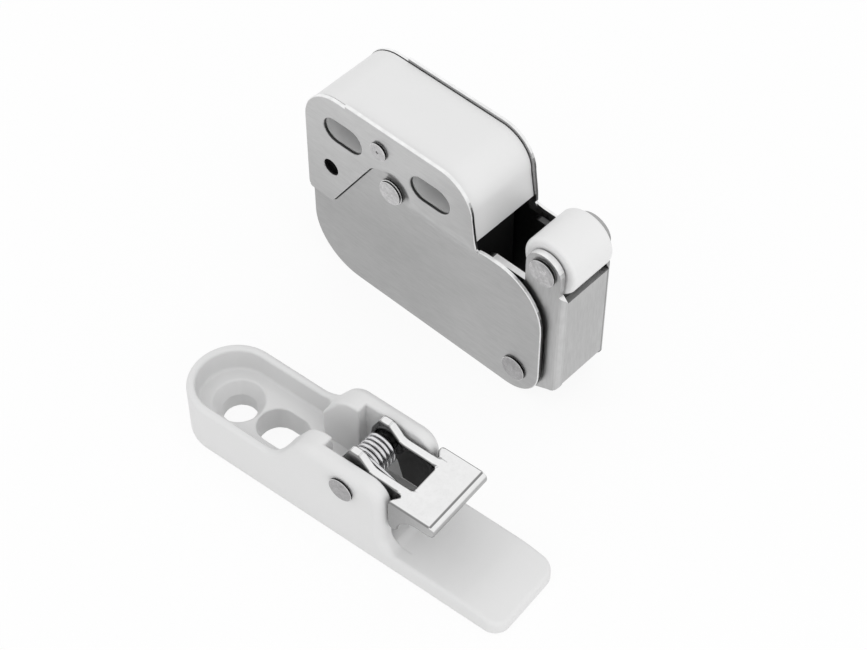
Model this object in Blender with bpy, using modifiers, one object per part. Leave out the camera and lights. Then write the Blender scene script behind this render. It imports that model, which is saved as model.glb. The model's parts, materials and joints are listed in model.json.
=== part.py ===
# Touch latch: a spring-loaded push latch with a roller arm, and its strike with a sprung hook lever.
# Lengths at the top are in millimetres and are turned into metres where geometry is made.
# Each half has its own frame: x along the half, y across it from the middle plane, z up from the floor.
import math

import bmesh
import bpy
from mathutils import Matrix, Vector

MM = 0.001

# Latch body: x from its left edge, z from the floor
HALF_WIDTH = 6.3            # middle plane to the outer face of a mount plate
MOUNT_T = 0.7               # mount plate thickness
SIDE_T = 0.7                # side plate thickness
SIDE_STEP = 0.4             # side plates set back from the face of the mount plates
EAR_SPACE = 0.85            # side plates to the arm's ears
SEAT_GAP = 0.25             # gap between pieces that lie against each other
RUN_GAP = 0.3               # gap between pieces that move on each other
HEAD_GAP = 0.1              # gap under a rivet's head
SLOT_1_X = 7.0              # left edge of the mount plate to its first screw slot
RIVET_STEP = 8.65           # first slot to the main rivet
SLOT_STEP = 7.0             # main rivet to the second slot
SHOULDER_STEP = 7.95        # second slot to the lower right corner of the mount plate
MOUTH_LONG = 11.15          # that corner to the right edge of the side plates
SIDE_LEFT = 0.5             # left edge of the side plates
SIDE_FOOT = 0.0             # straight bottom edge of the side plates
SIDE_FOOT_R = 8.2           # lower left corner of the side plates
SIDE_TOP = 22.2             # top edge of the side plates beside the roller
SIDE_TOP_R = 7.8            # upper right corner of the side plates
SIDE_HEEL_R = 5.5           # lower right corner of the side plates
LAP = 0.8                   # how far the cam block reaches up behind the mount plates
MOUNT_DROP = 0.2            # lower edge of the mount plates below the side plates' top edge
MOUNT_TALL = 10.95          # height of the mount plates over that edge
TAB_DROP = 8.9              # the mount plate's tab reaches this far below that edge
TAB_RIGHT = 4.7             # right end of the tab's lower edge
TAB_R = 0.8                 # lower left corner of the tab
CORNER_R = 6.0              # upper left corner of the mount plates
NOTCH = 0.4                 # step in the top edge beside that corner
NOTCH_X = 7.6               # where the step is
CORNER_CUT = 0.4            # lower right corner of the mount plates
SHOULDER_R = 5.65           # shoulder of the mount plates
SHOULDER_LEAN = 0.65        # how far the shoulder's edge leans out at its foot
ARCH_R = 3.4                # round relief in the mount plate over the main rivet
EDGE_INSET = 0.5           # how far the cover lies below the plate edges
SLOT_LONG = 7.0             # screw slots
SLOT_WIDE = 4.1
SLOT_RISE = 4.95            # slots over the lower edge of the mount plates
PILOT_X = 4.5               # small fixing hole
PILOT_DROP = 2.6            # below the lower edge of the mount plates
PILOT_R = 1.3
RIVET_RISE = 0.5            # main rivet over the lower edge of the mount plates
RIVET_R = 1.5
RIVET_HEAD_R = 1.95
RIVET_HEAD_T = 0.28
RIVET_EDGE = 0.12           # chamfer of a rivet's head
SMALL_RIVET_BACK = 1.9     # cover rivet to the left of the main rivet
SMALL_RIVET_RISE = 6.45     # and over it
SMALL_RIVET_R = 0.9
SMALL_HEAD_R = 1.4
SMALL_HEAD_T = 0.3
SMALL_EDGE = 0.15           # chamfer of the cover rivet's head
FLUSH_GAP = 0.05            # the cover rivet's rear end lies below the mounting face by this
DIMPLE_R = 0.35             # centre mark in the cover rivet's head
DIMPLE_DEEP = 0.2
CAM_BACK = 3.1              # right face of the cam block behind the mount plates' corner
CAM_INSET = 0.45            # cam block inside the edge of the side plates

# Swing arm, roller and their pins
PIVOT_IN = 4.15             # arm pivot inside the right edge of the side plates
PIVOT_Z = 4.2               # arm pivot over the floor
PIVOT_R = 1.5
ROLLER_OUT = 3.25           # roller axis beyond the pivot
ROLLER_RISE = 2.9           # roller axis over the top edge of the side plates
ROLLER_R = 4.2
ROLLER_RIM = 0.55           # rounded rim of the roller
ROLLER_PIN_R = 1.2
PIN_HEAD_R = 2.05
PIN_HEAD_T = 0.6
EAR_T = 0.9                 # sheet thickness of the arm
EAR_LOBE_R = 3.4            # lower end of the arm round the pivot
FINGER_R = 2.9              # rounded end of the arm round the roller pin
FINGER_FOOT = 0.6           # where the finger meets the web, over the web's top
WEB_OUT = 2.75              # outer face of the arm's web beyond the side plates
WEB_RISE = 0.6              # lower edge of the web over the pivot
WEB_FOOT_R = 2.2            # round lower right corner of the ears
WEB_FOOT_LAP = 0.3          # that round starts this far over the web's lower edge
BEND_R = 1.2                # outside bend of the arm
TAIL_WALL = 1.8             # arm material to the left of the follower's hole
TAIL_DROP = 0.8             # top of the arm's tails below the side plates' top edge
TAIL_R = 1.2                # upper left corner of the tails
TAIL_FOOT = 2.6             # lower left corner of the tails below the follower's hole
TAIL_FOOT_IN = 0.4          # and to its right
SLEEVE_WALL = 0.4
ARM_IN = 5.0                # degrees the arm can be pressed in
ARM_OUT = 35.0              # degrees the arm springs out

# Push-push mechanism
LINK_BACK = 4.6             # where the follower wire hooks into the arm, left of the pivot
LINK_RISE = 7.8             # and over it
LINK_LONG = 13.5            # length of the follower wire
LINK_WIRE = 1.0
LINK_CLEAR = 0.2            # follower wire to the arm's ear
LINK_BEND = 0.8             # bends of the follower wire
TRACK_DEPTH = 1.5
TRACK_CLEAR = 0.35          # track wider than the follower's tip on each side
TRACK_STEP = 0.08           # each lane is this much shallower, so that the tip goes round one way
TRACK_SPARE = 3.0           # degrees that the release lane runs on past the arm's range
HEART_DROP = 4.6            # how far the return lane runs below the release lane
POCKET_EDGE = 0.35          # pocket floor round the track
POCKET_ABOVE = 4.6          # roof of the pocket over the follower
POCKET_BACK = 3.6           # left end of the pocket behind the follower's tip
LEAF_T = 0.25               # leaf spring that holds the follower down
LEAF_BOW = 0.5              # how far it bows
LEAF_LONG = 10.2
LEAF_HALF = 3.1             # half its width

# Springs
EJECT_WIRE = 0.7
EJECT_PITCH = 1.2
EJECT_HOOK = 2.6            # length of the leg's end that bears on the cam block
EJECT_REACH = 11.0          # where the other leg bears on the arm's web, over the pivot
LEVER_WIRE = 0.55
LEVER_PITCH = 1.0
COIL_GAP = 0.6              # lever spring round its pin

# Strike: x from its rounded end
STRIKE_HALF = 6.4           # half width at the rounded end
STRIKE_TAPER = 0.25         # each side comes in by this much at the tongue's end
STRIKE_FLOOR = 4.2          # floor of the screw recess
RIM_TALL = 3.8              # rim over that floor
RECESS_WALL = 1.2
RECESS_R = 1.5              # inner corners of the recess
RECESS_END = 0.85           # second hole to the end of the recess
SCREW_R = 2.4               # first hole, countersunk
SCREW_CONE_R = 3.55
SCREW_CONE_T = 1.8
CONE_EDGE = 2.05            # floor between the countersink and the recess wall
SCREW_STEP = 6.7            # first hole to the start of the second
SCREW_2_LONG = 2.0          # straight stretch of the second hole
SCREW_2_R = 2.75
CHEEK_STEP = 3.5            # recess to the top of the cheeks
CHEEK_TOP = 14.2
CHEEK_R = 3.0               # upper right corner of the cheeks
RISE_RUN = 3.9              # run of the slope up to the cheeks
RISE_R = 1.6                # rounds at the slope's ends
RISE_SLOPE = 56.0           # its angle in degrees
BLOCK_HALF = 2.5            # half width of the gap between the blocks before the lever
BLOCK_LONG = 2.7            # the blocks run on this far from the cheeks' left end
CHANNEL_HALF = 4.0          # half width between the cheeks
CHANNEL_END = 3.0           # the channel runs on this far over the tongue
FLOOR_STEP = 0.2            # step between the floors of the recess, the gap and the channel
TONGUE_T = 2.9
TONGUE_TIP_T = 1.8
TONGUE_R = 2.2              # corners of the tongue
TONGUE_SLOPE = 6.3          # the tongue thins over this length
TONGUE_FILLET = 2.0         # fillet between the cheeks and the tongue
TONGUE_LONG = 10.7          # tongue beyond the lever's bar
STRIKE_EDGE = 0.7           # soft outer edges

# Hook lever and its pin
LEVER_STEP = 7.2            # left end of the cheeks to the lever's pin
LEVER_DROP = 3.0            # pin below the top of the cheeks
CHEEK_END = 6.1             # pin to the right end of the cheeks
LEVER_PIN_R = 1.2
LEVER_HEAD_R = 1.8
EAR_CLEAR = 0.4             # lever's ears to the cheeks
EAR_WIDE = 1.3
EAR_WALL = 1.0              # ear material behind the pin's hole
KNUCKLE_RISE = 4.0          # top of the knuckles over the pin
RAIL_RISE = 2.0             # top of the rails over the pin
BAR_RISE = 1.9              # top of the bar over the pin
BAR_HALF = 5.4
BAR_GAP = 0.3               # cheeks to the bar
BAR_LONG = 7.3
BAR_NOSE_R = 0.98
BAR_LIP = 1.5               # thickness of the bar's lip behind the nest
RAIL_LAP = 2.2              # how far the rails run into the bar
WINDOW_LAP = 1.6            # how far the window reaches into the bar
NEST_R = 3.2                # hollow under the bar that the roller sits in

# Where the strike lies beside the latch body, in the latch body's frame
STRIKE_X = 8.06
STRIKE_Y = -35.27
STRIKE_YAW = 4.9

# Places and fits derived from the values above
RIVET_X = SLOT_1_X + RIVET_STEP
SLOT_2_X = RIVET_X + SLOT_STEP
MOUNT_RIGHT = SLOT_2_X + SHOULDER_STEP
BODY_RIGHT = MOUNT_RIGHT + MOUTH_LONG
MOUNT_FOOT = SIDE_TOP - MOUNT_DROP
BODY_TOP = MOUNT_FOOT + MOUNT_TALL
CORNER_TOP = BODY_TOP - NOTCH
TAB_FOOT = MOUNT_FOOT - TAB_DROP
SHOULDER_X = MOUNT_RIGHT - SHOULDER_LEAN - SHOULDER_R
SLOT_Z = MOUNT_FOOT + SLOT_RISE
PILOT_Z = MOUNT_FOOT - PILOT_DROP
RIVET_Z = MOUNT_FOOT + RIVET_RISE
SMALL_RIVET_X = RIVET_X - SMALL_RIVET_BACK
SMALL_RIVET_Z = RIVET_Z + SMALL_RIVET_RISE
CAM_RIGHT = MOUNT_RIGHT - CAM_BACK
PIVOT_X = BODY_RIGHT - PIVOT_IN
ROLLER_X = PIVOT_X + ROLLER_OUT
ROLLER_Z = SIDE_TOP + ROLLER_RISE
WEB_X = BODY_RIGHT + WEB_OUT
WEB_FOOT = PIVOT_Z + WEB_RISE
WEB_TOP = ROLLER_Z - math.sqrt((ROLLER_R + RUN_GAP) ** 2 - (WEB_X - EAR_T - ROLLER_X) ** 2)
LINK_X = PIVOT_X - LINK_BACK
LINK_Z = PIVOT_Z + LINK_RISE
TIP_X = LINK_X - LINK_LONG
TIP_R = LINK_WIRE / 2
TAIL_LEFT = LINK_X - TAIL_WALL
TAIL_TOP = SIDE_TOP - TAIL_DROP
MOUNT_IN = HALF_WIDTH - MOUNT_T
SIDE_OUT = HALF_WIDTH - SIDE_STEP
SIDE_IN = SIDE_OUT - SIDE_T
EAR_OUTER = SIDE_IN - EAR_SPACE
EAR_INNER = EAR_OUTER - EAR_T
COVER_HALF = MOUNT_IN - SEAT_GAP
COVER_LEFT = EDGE_INSET - NOTCH
CAM_HALF = SIDE_IN - SEAT_GAP
ROLLER_HALF = EAR_INNER - SEAT_GAP
SLEEVE_R = PIVOT_R + SEAT_GAP + SLEEVE_WALL
EJECT_R = SLEEVE_R + SEAT_GAP + EJECT_WIRE / 2
EJECT_TURNS = math.floor((2 * ROLLER_HALF - EJECT_WIRE - SEAT_GAP) / EJECT_PITCH - 0.25) + 0.25
LINK_Y = LINK_CLEAR + TIP_R - EAR_INNER
LEAF_Y = LINK_Y - TIP_R - SEAT_GAP - LEAF_T - LEAF_BOW
POCKET_Y = LINK_Y + TIP_R + SEAT_GAP
LANE_HALF = TIP_R + TRACK_CLEAR
POCKET_BELOW = HEART_DROP + LANE_HALF + POCKET_EDGE
STRIKE_RIM = STRIKE_FLOOR + RIM_TALL
SCREW_1_X = RECESS_WALL + SCREW_CONE_R + CONE_EDGE
SCREW_2_X = SCREW_1_X + SCREW_STEP
RECESS_RIGHT = SCREW_2_X + SCREW_2_LONG + SCREW_2_R + RECESS_END
CHEEK_LEFT = RECESS_RIGHT + CHEEK_STEP
BLOCK_RIGHT = CHEEK_LEFT + BLOCK_LONG
LEVER_X = CHEEK_LEFT + LEVER_STEP
LEVER_Z = CHEEK_TOP - LEVER_DROP
CHEEK_RIGHT = LEVER_X + CHEEK_END
BAR_LEFT = CHEEK_RIGHT + BAR_GAP
BAR_RIGHT = BAR_LEFT + BAR_LONG
BAR_TOP = LEVER_Z + BAR_RISE
STRIKE_LONG = BAR_RIGHT + TONGUE_LONG
EAR_OUT = CHANNEL_HALF - EAR_CLEAR
EAR_IN = EAR_OUT - EAR_WIDE
LEVER_COIL_R = LEVER_PIN_R + COIL_GAP + LEVER_WIRE / 2
LEVER_TURNS = math.floor((2 * EAR_IN - LEVER_WIRE) / LEVER_PITCH - 0.5) + 0.5

for old in list(bpy.data.objects):
    bpy.data.objects.remove(old, do_unlink=True)

scene = bpy.context.scene
parts = bpy.data.collections.new("touch_latch")
cutters = bpy.data.collections.new("cutters")
scene.collection.children.link(parts)
scene.collection.children.link(cutters)


def material(name, colour, metallic, roughness):
    """A plain Principled material."""
    mat = bpy.data.materials.new(name)
    mat.use_nodes = True
    node = mat.node_tree.nodes["Principled BSDF"]
    node.inputs["Base Color"].default_value = (*colour, 1.0)
    node.inputs["Metallic"].default_value = metallic
    node.inputs["Roughness"].default_value = roughness
    mat.diffuse_color = (*colour, 1.0)
    return mat


PLATE_STEEL = ("plate_steel", (0.58, 0.59, 0.60), 1.0, 0.38)
RIVET_STEEL = ("rivet_steel", (0.62, 0.62, 0.63), 1.0, 0.30)
SPRING_STEEL = ("spring_steel", (0.55, 0.55, 0.57), 1.0, 0.25)
CAST_CHROME = ("cast_chrome", (0.80, 0.80, 0.82), 1.0, 0.12)
WHITE_PLASTIC = ("white_plastic", (0.86, 0.86, 0.86), 0.0, 0.40)
BLACK_PLASTIC = ("black_plastic", (0.03, 0.03, 0.03), 0.0, 0.55)


def arc(cx, cz, radius, start, end, count):
    """Points on an arc, in degrees, both ends included."""
    points = []
    for i in range(count + 1):
        angle = math.radians(start + (end - start) * i / count)
        points.append((cx + radius * math.cos(angle), cz + radius * math.sin(angle)))
    return points


def stadium(cx, cz, long, wide, count=10):
    """A slot lying along the first axis."""
    radius = wide / 2
    reach = (long - wide) / 2
    return arc(cx + reach, cz, radius, -90, 90, count) + arc(cx - reach, cz, radius, 90, 270, count)


def tidy(mesh):
    """Welds the points of a mesh and turns its faces outwards."""
    bm = bmesh.new()
    bm.from_mesh(mesh)
    bmesh.ops.remove_doubles(bm, verts=bm.verts, dist=0.000002)
    bmesh.ops.recalc_face_normals(bm, faces=bm.faces)
    bm.to_mesh(mesh)
    bm.free()


def add(name, mesh, origin, mat=None, smooth=None):
    """A named object with its origin at the given point of its half's frame."""
    shift = Vector(origin) * MM
    mesh.transform(Matrix.Translation(-shift))
    obj = bpy.data.objects.new(name, mesh)
    obj.location = shift
    if mat is None:
        cutters.objects.link(obj)
        obj.hide_render = True
        obj.display_type = "WIRE"
    else:
        parts.objects.link(obj)
        mesh.materials.clear()
        mesh.materials.append(material(name + "_" + mat[0], *mat[1:]))
    if smooth is not None:
        mesh.set_sharp_from_angle(angle=math.radians(smooth))
    return obj


def flat_mesh(outline, holes, low, high):
    """Mesh of a filled outline between two heights, made from a 2D curve."""
    curve = bpy.data.curves.new("outline", "CURVE")
    curve.dimensions = "2D"
    curve.fill_mode = "BOTH"
    curve.extrude = (high - low) / 2 * MM
    for loop in [outline] + list(holes):
        spline = curve.splines.new("POLY")
        spline.points.add(len(loop) - 1)
        for point, (a, b) in zip(spline.points, loop):
            point.co = (a * MM, b * MM, 0.0, 1.0)
        spline.use_cyclic_u = True
    temp = bpy.data.objects.new("outline", curve)
    scene.collection.objects.link(temp)
    mesh = bpy.data.meshes.new_from_object(temp.evaluated_get(bpy.context.evaluated_depsgraph_get()))
    bpy.data.objects.remove(temp, do_unlink=True)
    mesh.transform(Matrix.Translation((0.0, 0.0, (high + low) / 2 * MM)))
    tidy(mesh)
    return mesh


def sheet(outline, holes, low, high):
    """An outline in x and z, thick along y."""
    mesh = flat_mesh(outline, holes, -high, -low)
    mesh.transform(Matrix.Rotation(math.radians(90), 4, "X"))
    tidy(mesh)
    return mesh


def slab(outline, holes, low, high):
    """An outline in x and y, thick along z."""
    return flat_mesh(outline, holes, low, high)


def box(x0, x1, y0, y1, z0, z1):
    """A plain box."""
    return slab([(x0, y0), (x1, y0), (x1, y1), (x0, y1)], [], z0, z1)


def turned(profile, steps=28):
    """A profile of (radius, y) points turned about the y axis at x 0, z 0."""
    mesh = bpy.data.meshes.new("profile")
    points = [(radius * MM, 0.0, height * MM) for radius, height in profile]
    edges = [(i, (i + 1) % len(points)) for i in range(len(points))]
    if profile[0][0] == 0.0:
        edges.pop()
    mesh.from_pydata(points, edges, [])
    temp = bpy.data.objects.new("profile", mesh)
    scene.collection.objects.link(temp)
    screw = temp.modifiers.new("turn", "SCREW")
    screw.axis = "Z"
    screw.steps = steps
    screw.render_steps = steps
    screw.use_merge_vertices = True
    screw.merge_threshold = 0.000005
    solid = bpy.data.meshes.new_from_object(temp.evaluated_get(bpy.context.evaluated_depsgraph_get()))
    bpy.data.objects.remove(temp, do_unlink=True)
    solid.transform(Matrix.Rotation(math.radians(-90), 4, "X"))
    tidy(solid)
    for face in solid.polygons:
        face.use_smooth = True
    return solid


def moved(mesh, x, y, z):
    """Moves a mesh within its half's frame."""
    mesh.transform(Matrix.Translation(Vector((x, y, z)) * MM))
    return mesh


def cut(obj, tool, operation="DIFFERENCE"):
    """An exact Boolean."""
    mod = obj.modifiers.new(tool.name, "BOOLEAN")
    mod.operation = operation
    mod.solver = "EXACT"
    mod.object = tool


def wire(points, diameter, sides=1):
    """A round wire through the points, as one closed tube."""
    curve = bpy.data.curves.new("wire", "CURVE")
    curve.dimensions = "3D"
    curve.bevel_depth = diameter / 2 * MM
    curve.bevel_resolution = sides
    curve.use_fill_caps = True
    spline = curve.splines.new("POLY")
    spline.points.add(len(points) - 1)
    for point, co in zip(spline.points, points):
        point.co = (co[0] * MM, co[1] * MM, co[2] * MM, 1.0)
    temp = bpy.data.objects.new("wire", curve)
    scene.collection.objects.link(temp)
    mesh = bpy.data.meshes.new_from_object(temp.evaluated_get(bpy.context.evaluated_depsgraph_get()))
    bpy.data.objects.remove(temp, do_unlink=True)
    tidy(mesh)
    for face in mesh.polygons:
        face.use_smooth = True
    return mesh


def least_gap(points, diameter, skip):
    """Least distance between the surfaces of a wire's points that lie apart along it."""
    least = 1000.0
    for i, first in enumerate(points):
        for second in points[i + skip:]:
            least = min(least, math.dist(first, second) - diameter)
    return least


def rise_angle(height, radius):
    """Angle in degrees at which a circle reaches this height over its centre."""
    return math.degrees(math.asin(height / radius))


# Side plates and mount plates, one of each on either side of the middle plane
hump_r = ARCH_R + LAP
hump_start = rise_angle(LAP - RIVET_RISE, hump_r)
hump_end = 180 - rise_angle(-RIVET_RISE, hump_r)
tab_run = RIVET_X - TAB_RIGHT
tab_rise = RIVET_Z - TAB_FOOT
tab_lean = math.atan2(tab_rise, tab_run)
tab_tangent = 180 + math.degrees(tab_lean - math.acos(ARCH_R / math.hypot(tab_run, tab_rise)))
mount_outline = (
    arc(TAB_R, TAB_FOOT + TAB_R, TAB_R, 180, 270, 4)
    + [(TAB_RIGHT, TAB_FOOT)]
    + arc(RIVET_X, RIVET_Z, ARCH_R, tab_tangent, rise_angle(-RIVET_RISE, ARCH_R), 14)
    + [(MOUNT_RIGHT - CORNER_CUT, MOUNT_FOOT), (MOUNT_RIGHT, MOUNT_FOOT + CORNER_CUT)]
    + arc(SHOULDER_X, BODY_TOP - SHOULDER_R, SHOULDER_R, 0, 90, 12)
    + [(NOTCH_X, BODY_TOP), (NOTCH_X, CORNER_TOP)]
    + arc(CORNER_R, CORNER_TOP - CORNER_R, CORNER_R, 90, 180, 10)
)
# The side plates end along the lower edge of the mount plates, a seat's gap away from it
butt_r = ARCH_R - SEAT_GAP
butt_start = rise_angle(-RIVET_RISE - SEAT_GAP, butt_r)
tab_edge = TAB_RIGHT + SEAT_GAP * math.tan(math.radians(tab_tangent - 90) / 2)
side_outline = (
    [(SIDE_LEFT, TAB_FOOT - SEAT_GAP)]
    + arc(SIDE_LEFT + SIDE_FOOT_R, SIDE_FOOT + SIDE_FOOT_R, SIDE_FOOT_R, 180, 270, 12)
    + arc(BODY_RIGHT - SIDE_HEEL_R, SIDE_FOOT + SIDE_HEEL_R, SIDE_HEEL_R, 270, 360, 12)
    + arc(BODY_RIGHT - SIDE_TOP_R, SIDE_TOP - SIDE_TOP_R, SIDE_TOP_R, 0, 90, 10)
    + [(MOUNT_RIGHT + SEAT_GAP, SIDE_TOP), (MOUNT_RIGHT + SEAT_GAP, MOUNT_FOOT - SEAT_GAP)]
    + arc(RIVET_X, RIVET_Z, butt_r, butt_start, tab_tangent, 14)
    + [(tab_edge, TAB_FOOT - SEAT_GAP)]
)
slots = [stadium(x, SLOT_Z, SLOT_LONG, SLOT_WIDE) for x in (SLOT_1_X, SLOT_2_X)]
pilot = arc(PILOT_X, PILOT_Z, PILOT_R, 0, 348.75, 31)
small_hole = arc(SMALL_RIVET_X, SMALL_RIVET_Z, SMALL_RIVET_R + SEAT_GAP, 0, 345, 23)
main_hole = arc(RIVET_X, RIVET_Z, RIVET_R + SEAT_GAP, 0, 345, 23)
pivot_hole = arc(PIVOT_X, PIVOT_Z, PIVOT_R + SEAT_GAP, 0, 345, 23)

for side, sign in (("front", -1), ("rear", 1)):
    faces = sorted((sign * MOUNT_IN, sign * HALF_WIDTH))
    mesh = sheet(mount_outline, slots + [pilot, small_hole], *faces)
    add(side + "_mount_plate", mesh, (0, sign * HALF_WIDTH, 0), PLATE_STEEL)
    faces = sorted((sign * SIDE_IN, sign * SIDE_OUT))
    mesh = sheet(side_outline, [main_hole, pivot_hole], *faces)
    add(side + "_side_plate", mesh, (0, sign * SIDE_OUT, 0), PLATE_STEEL)

# White moulded cover between the mount plates, with a tunnel behind each screw slot
gap_r = hump_r + RUN_GAP
gap_start = rise_angle(LAP + RUN_GAP - RIVET_RISE, gap_r)
gap_end = 180 - rise_angle(RUN_GAP - RIVET_RISE, gap_r)
cover_outline = (
    [(COVER_LEFT, MOUNT_FOOT + RUN_GAP)]
    + arc(RIVET_X, RIVET_Z, gap_r, gap_end, gap_start, 14)
    + [(MOUNT_RIGHT - EDGE_INSET, MOUNT_FOOT + LAP + RUN_GAP)]
    + arc(SHOULDER_X, BODY_TOP - SHOULDER_R, SHOULDER_R - EDGE_INSET, 0, 90, 16)
    + arc(CORNER_R, CORNER_TOP - CORNER_R, CORNER_R - COVER_LEFT, 90, 180, 12)
)
mesh = sheet(cover_outline, slots + [small_hole], -COVER_HALF, COVER_HALF)
add("top_cover", mesh, (SHOULDER_X, 0, BODY_TOP - EDGE_INSET), WHITE_PLASTIC)


def rivet(name, x, z, shank, head, face, thick):
    """A rivet along y, with a head on each of the faces at this distance from the middle plane."""
    seat = face + HEAD_GAP
    half = [(head - RIVET_EDGE, seat + thick), (head, seat + thick - RIVET_EDGE), (head, seat), (shank, seat)]
    profile = [(0.0, seat + thick)] + half + [(r, -y) for r, y in half[::-1]] + [(0.0, -seat - thick)]
    return add(name, moved(turned(profile), x, 0, z), (x, 0, z), RIVET_STEEL, 40)


rivet("main_rivet", RIVET_X, RIVET_Z, RIVET_R, RIVET_HEAD_R, SIDE_OUT, RIVET_HEAD_T)
rivet("arm_pivot_pin", PIVOT_X, PIVOT_Z, PIVOT_R, RIVET_HEAD_R, SIDE_OUT, RIVET_HEAD_T)
rivet("roller_pin", ROLLER_X, ROLLER_Z, ROLLER_PIN_R, PIN_HEAD_R, EAR_OUTER, PIN_HEAD_T)

# Cover rivet: a dimpled head in front, a shank that ends flush with the mounting face behind
seat = -HALF_WIDTH - HEAD_GAP
flush = HALF_WIDTH - FLUSH_GAP
head_face = seat - SMALL_HEAD_T
small_profile = [
    (0.0, flush), (SMALL_RIVET_R, flush), (SMALL_RIVET_R, seat), (SMALL_HEAD_R, seat),
    (SMALL_HEAD_R, head_face + SMALL_EDGE), (SMALL_HEAD_R - SMALL_EDGE, head_face),
    (DIMPLE_R, head_face), (DIMPLE_R / 2, head_face + DIMPLE_DEEP), (0.0, head_face + DIMPLE_DEEP),
]
mesh = moved(turned(small_profile, 24), SMALL_RIVET_X, 0, SMALL_RIVET_Z)
add("cover_rivet", mesh, (SMALL_RIVET_X, 0, SMALL_RIVET_Z), RIVET_STEEL, 40)

# Cam block: fills the body behind the arm and carries the heart-shaped track of the push-push lock
cam_outline = (
    [(SIDE_LEFT + CAM_INSET, MOUNT_FOOT)]
    + arc(SIDE_LEFT + SIDE_FOOT_R, SIDE_FOOT + SIDE_FOOT_R, SIDE_FOOT_R - CAM_INSET, 180, 270, 12)
    + [(CAM_RIGHT, SIDE_FOOT + CAM_INSET), (CAM_RIGHT, MOUNT_FOOT + LAP)]
    + arc(RIVET_X, RIVET_Z, hump_r, hump_start, hump_end, 14)
)
mesh = sheet(cam_outline, [pilot, main_hole], -CAM_HALF, CAM_HALF)
cam = add("cam_block", mesh, (RIVET_X, 0, RIVET_Z), BLACK_PLASTIC)
link_r = math.hypot(LINK_BACK, LINK_RISE)
link_start = math.degrees(math.atan2(LINK_RISE, -LINK_BACK))


def tip_at(turn):
    """Where the follower's tip lies when the arm has turned out by this many degrees."""
    angle = math.radians(link_start - turn)
    x = PIVOT_X + link_r * math.cos(angle) - LINK_LONG
    return (x, PIVOT_Z + link_r * math.sin(angle))


def lane(points, half):
    """Outline of a groove of constant width along the points, with round ends."""
    left, right = [], []
    for i, (x, z) in enumerate(points):
        before = points[max(i - 1, 0)]
        after = points[min(i + 1, len(points) - 1)]
        length = math.dist(before, after)
        nx = -(after[1] - before[1]) / length * half
        nz = (after[0] - before[0]) / length * half
        left.append((x + nx, z + nz))
        right.append((x - nx, z - nz))
    angle = math.degrees(math.atan2(left[-1][1] - points[-1][1], left[-1][0] - points[-1][0]))
    end_cap = arc(*points[-1], half, angle, angle - 180, 8)[1:-1]
    angle = math.degrees(math.atan2(right[0][1] - points[0][1], right[0][0] - points[0][0]))
    start_cap = arc(*points[0], half, angle, angle - 180, 8)[1:-1]
    return left + end_cap + right[::-1] + start_cap


pocket_foot = LINK_Z - POCKET_BELOW
pocket_roof = LINK_Z + POCKET_ABOVE
pocket = box(TIP_X - POCKET_BACK, CAM_RIGHT + 2, -CAM_HALF - 2, POCKET_Y, pocket_foot, pocket_roof)
cut(cam, add("cam_pocket", pocket, (0, 0, 0)))
lane_turns = ARM_OUT + ARM_IN + 2 * TRACK_SPARE
release = [tip_at(lane_turns * i / 14 - ARM_IN - TRACK_SPARE) for i in range(15)]
groove = sheet(lane(release, LANE_HALF), [], POCKET_Y - 1, POCKET_Y + TRACK_DEPTH)
cut(cam, add("release_lane", groove, (0, 0, 0)))

# The return lane leaves the release lane behind the tip, drops to the lock notch and comes back below it
rest = tip_at(0)
back = (release[0][0] - 0.4, release[0][1] - HEART_DROP * 0.5)
notch = (rest[0] + 1.9, rest[1] - HEART_DROP * 0.55)
low = (notch[0] + 0.4, rest[1] - HEART_DROP)
entry = release[-3]
heart = [release[0], back, (back[0] + 0.7, low[1] + 0.5), low, (entry[0] - 1.0, low[1] + 1.6), entry]
lanes = [("return_lane_%d" % i, pair) for i, pair in enumerate(zip(heart, heart[1:]))]
lanes.append(("lock_notch", ((back[0] + 0.2, back[1] + 0.1), notch)))
for i, (name, pair) in enumerate(lanes):
    depth = TRACK_DEPTH - TRACK_STEP * (i + 1)
    groove = sheet(lane(list(pair), LANE_HALF), [], POCKET_Y - 1, POCKET_Y + depth)
    cut(cam, add(name, groove, (0, 0, 0)))

# Swing arm: a strap bent to a U, cut from a solid of its outer shape
ear_outline = (
    arc(ROLLER_X, ROLLER_Z, FINGER_R, 180, 0, 14)
    + [(WEB_X - EAR_T, WEB_TOP + FINGER_FOOT), (WEB_X, WEB_TOP)]
    + arc(WEB_X - WEB_FOOT_R, WEB_FOOT + WEB_FOOT_LAP, WEB_FOOT_R, 0, -80, 6)
    + arc(PIVOT_X, PIVOT_Z, EAR_LOBE_R, 290, 175, 10)
    + [(TAIL_LEFT + TAIL_FOOT_IN, LINK_Z - TAIL_FOOT)]
    + arc(TAIL_LEFT + TAIL_R, TAIL_TOP - TAIL_R, TAIL_R, 180, 90, 5)
    + [(ROLLER_X - FINGER_R, TAIL_TOP)]
)
arm_holes = [
    arc(PIVOT_X, PIVOT_Z, PIVOT_R + RUN_GAP, 0, 345, 23),
    arc(ROLLER_X, ROLLER_Z, ROLLER_PIN_R + SEAT_GAP, 0, 345, 23),
    arc(LINK_X, LINK_Z, TIP_R + SEAT_GAP, 0, 337.5, 15),
]
mesh = sheet(ear_outline, arm_holes, -EAR_OUTER - 1, EAR_OUTER + 1)
arm = add("swing_arm", mesh, (PIVOT_X, 0, PIVOT_Z), PLATE_STEEL)


def strap_plan(half, radius, past):
    """Plan of the U at this half width and bend radius, open to the left past the tails."""
    bend_x = WEB_X - BEND_R
    return (
        [(TAIL_LEFT - past, -half)]
        + arc(bend_x, radius - half, radius, -90, 0, 6)
        + arc(bend_x, half - radius, radius, 0, 90, 6)
        + [(TAIL_LEFT - past, half)]
    )


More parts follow.
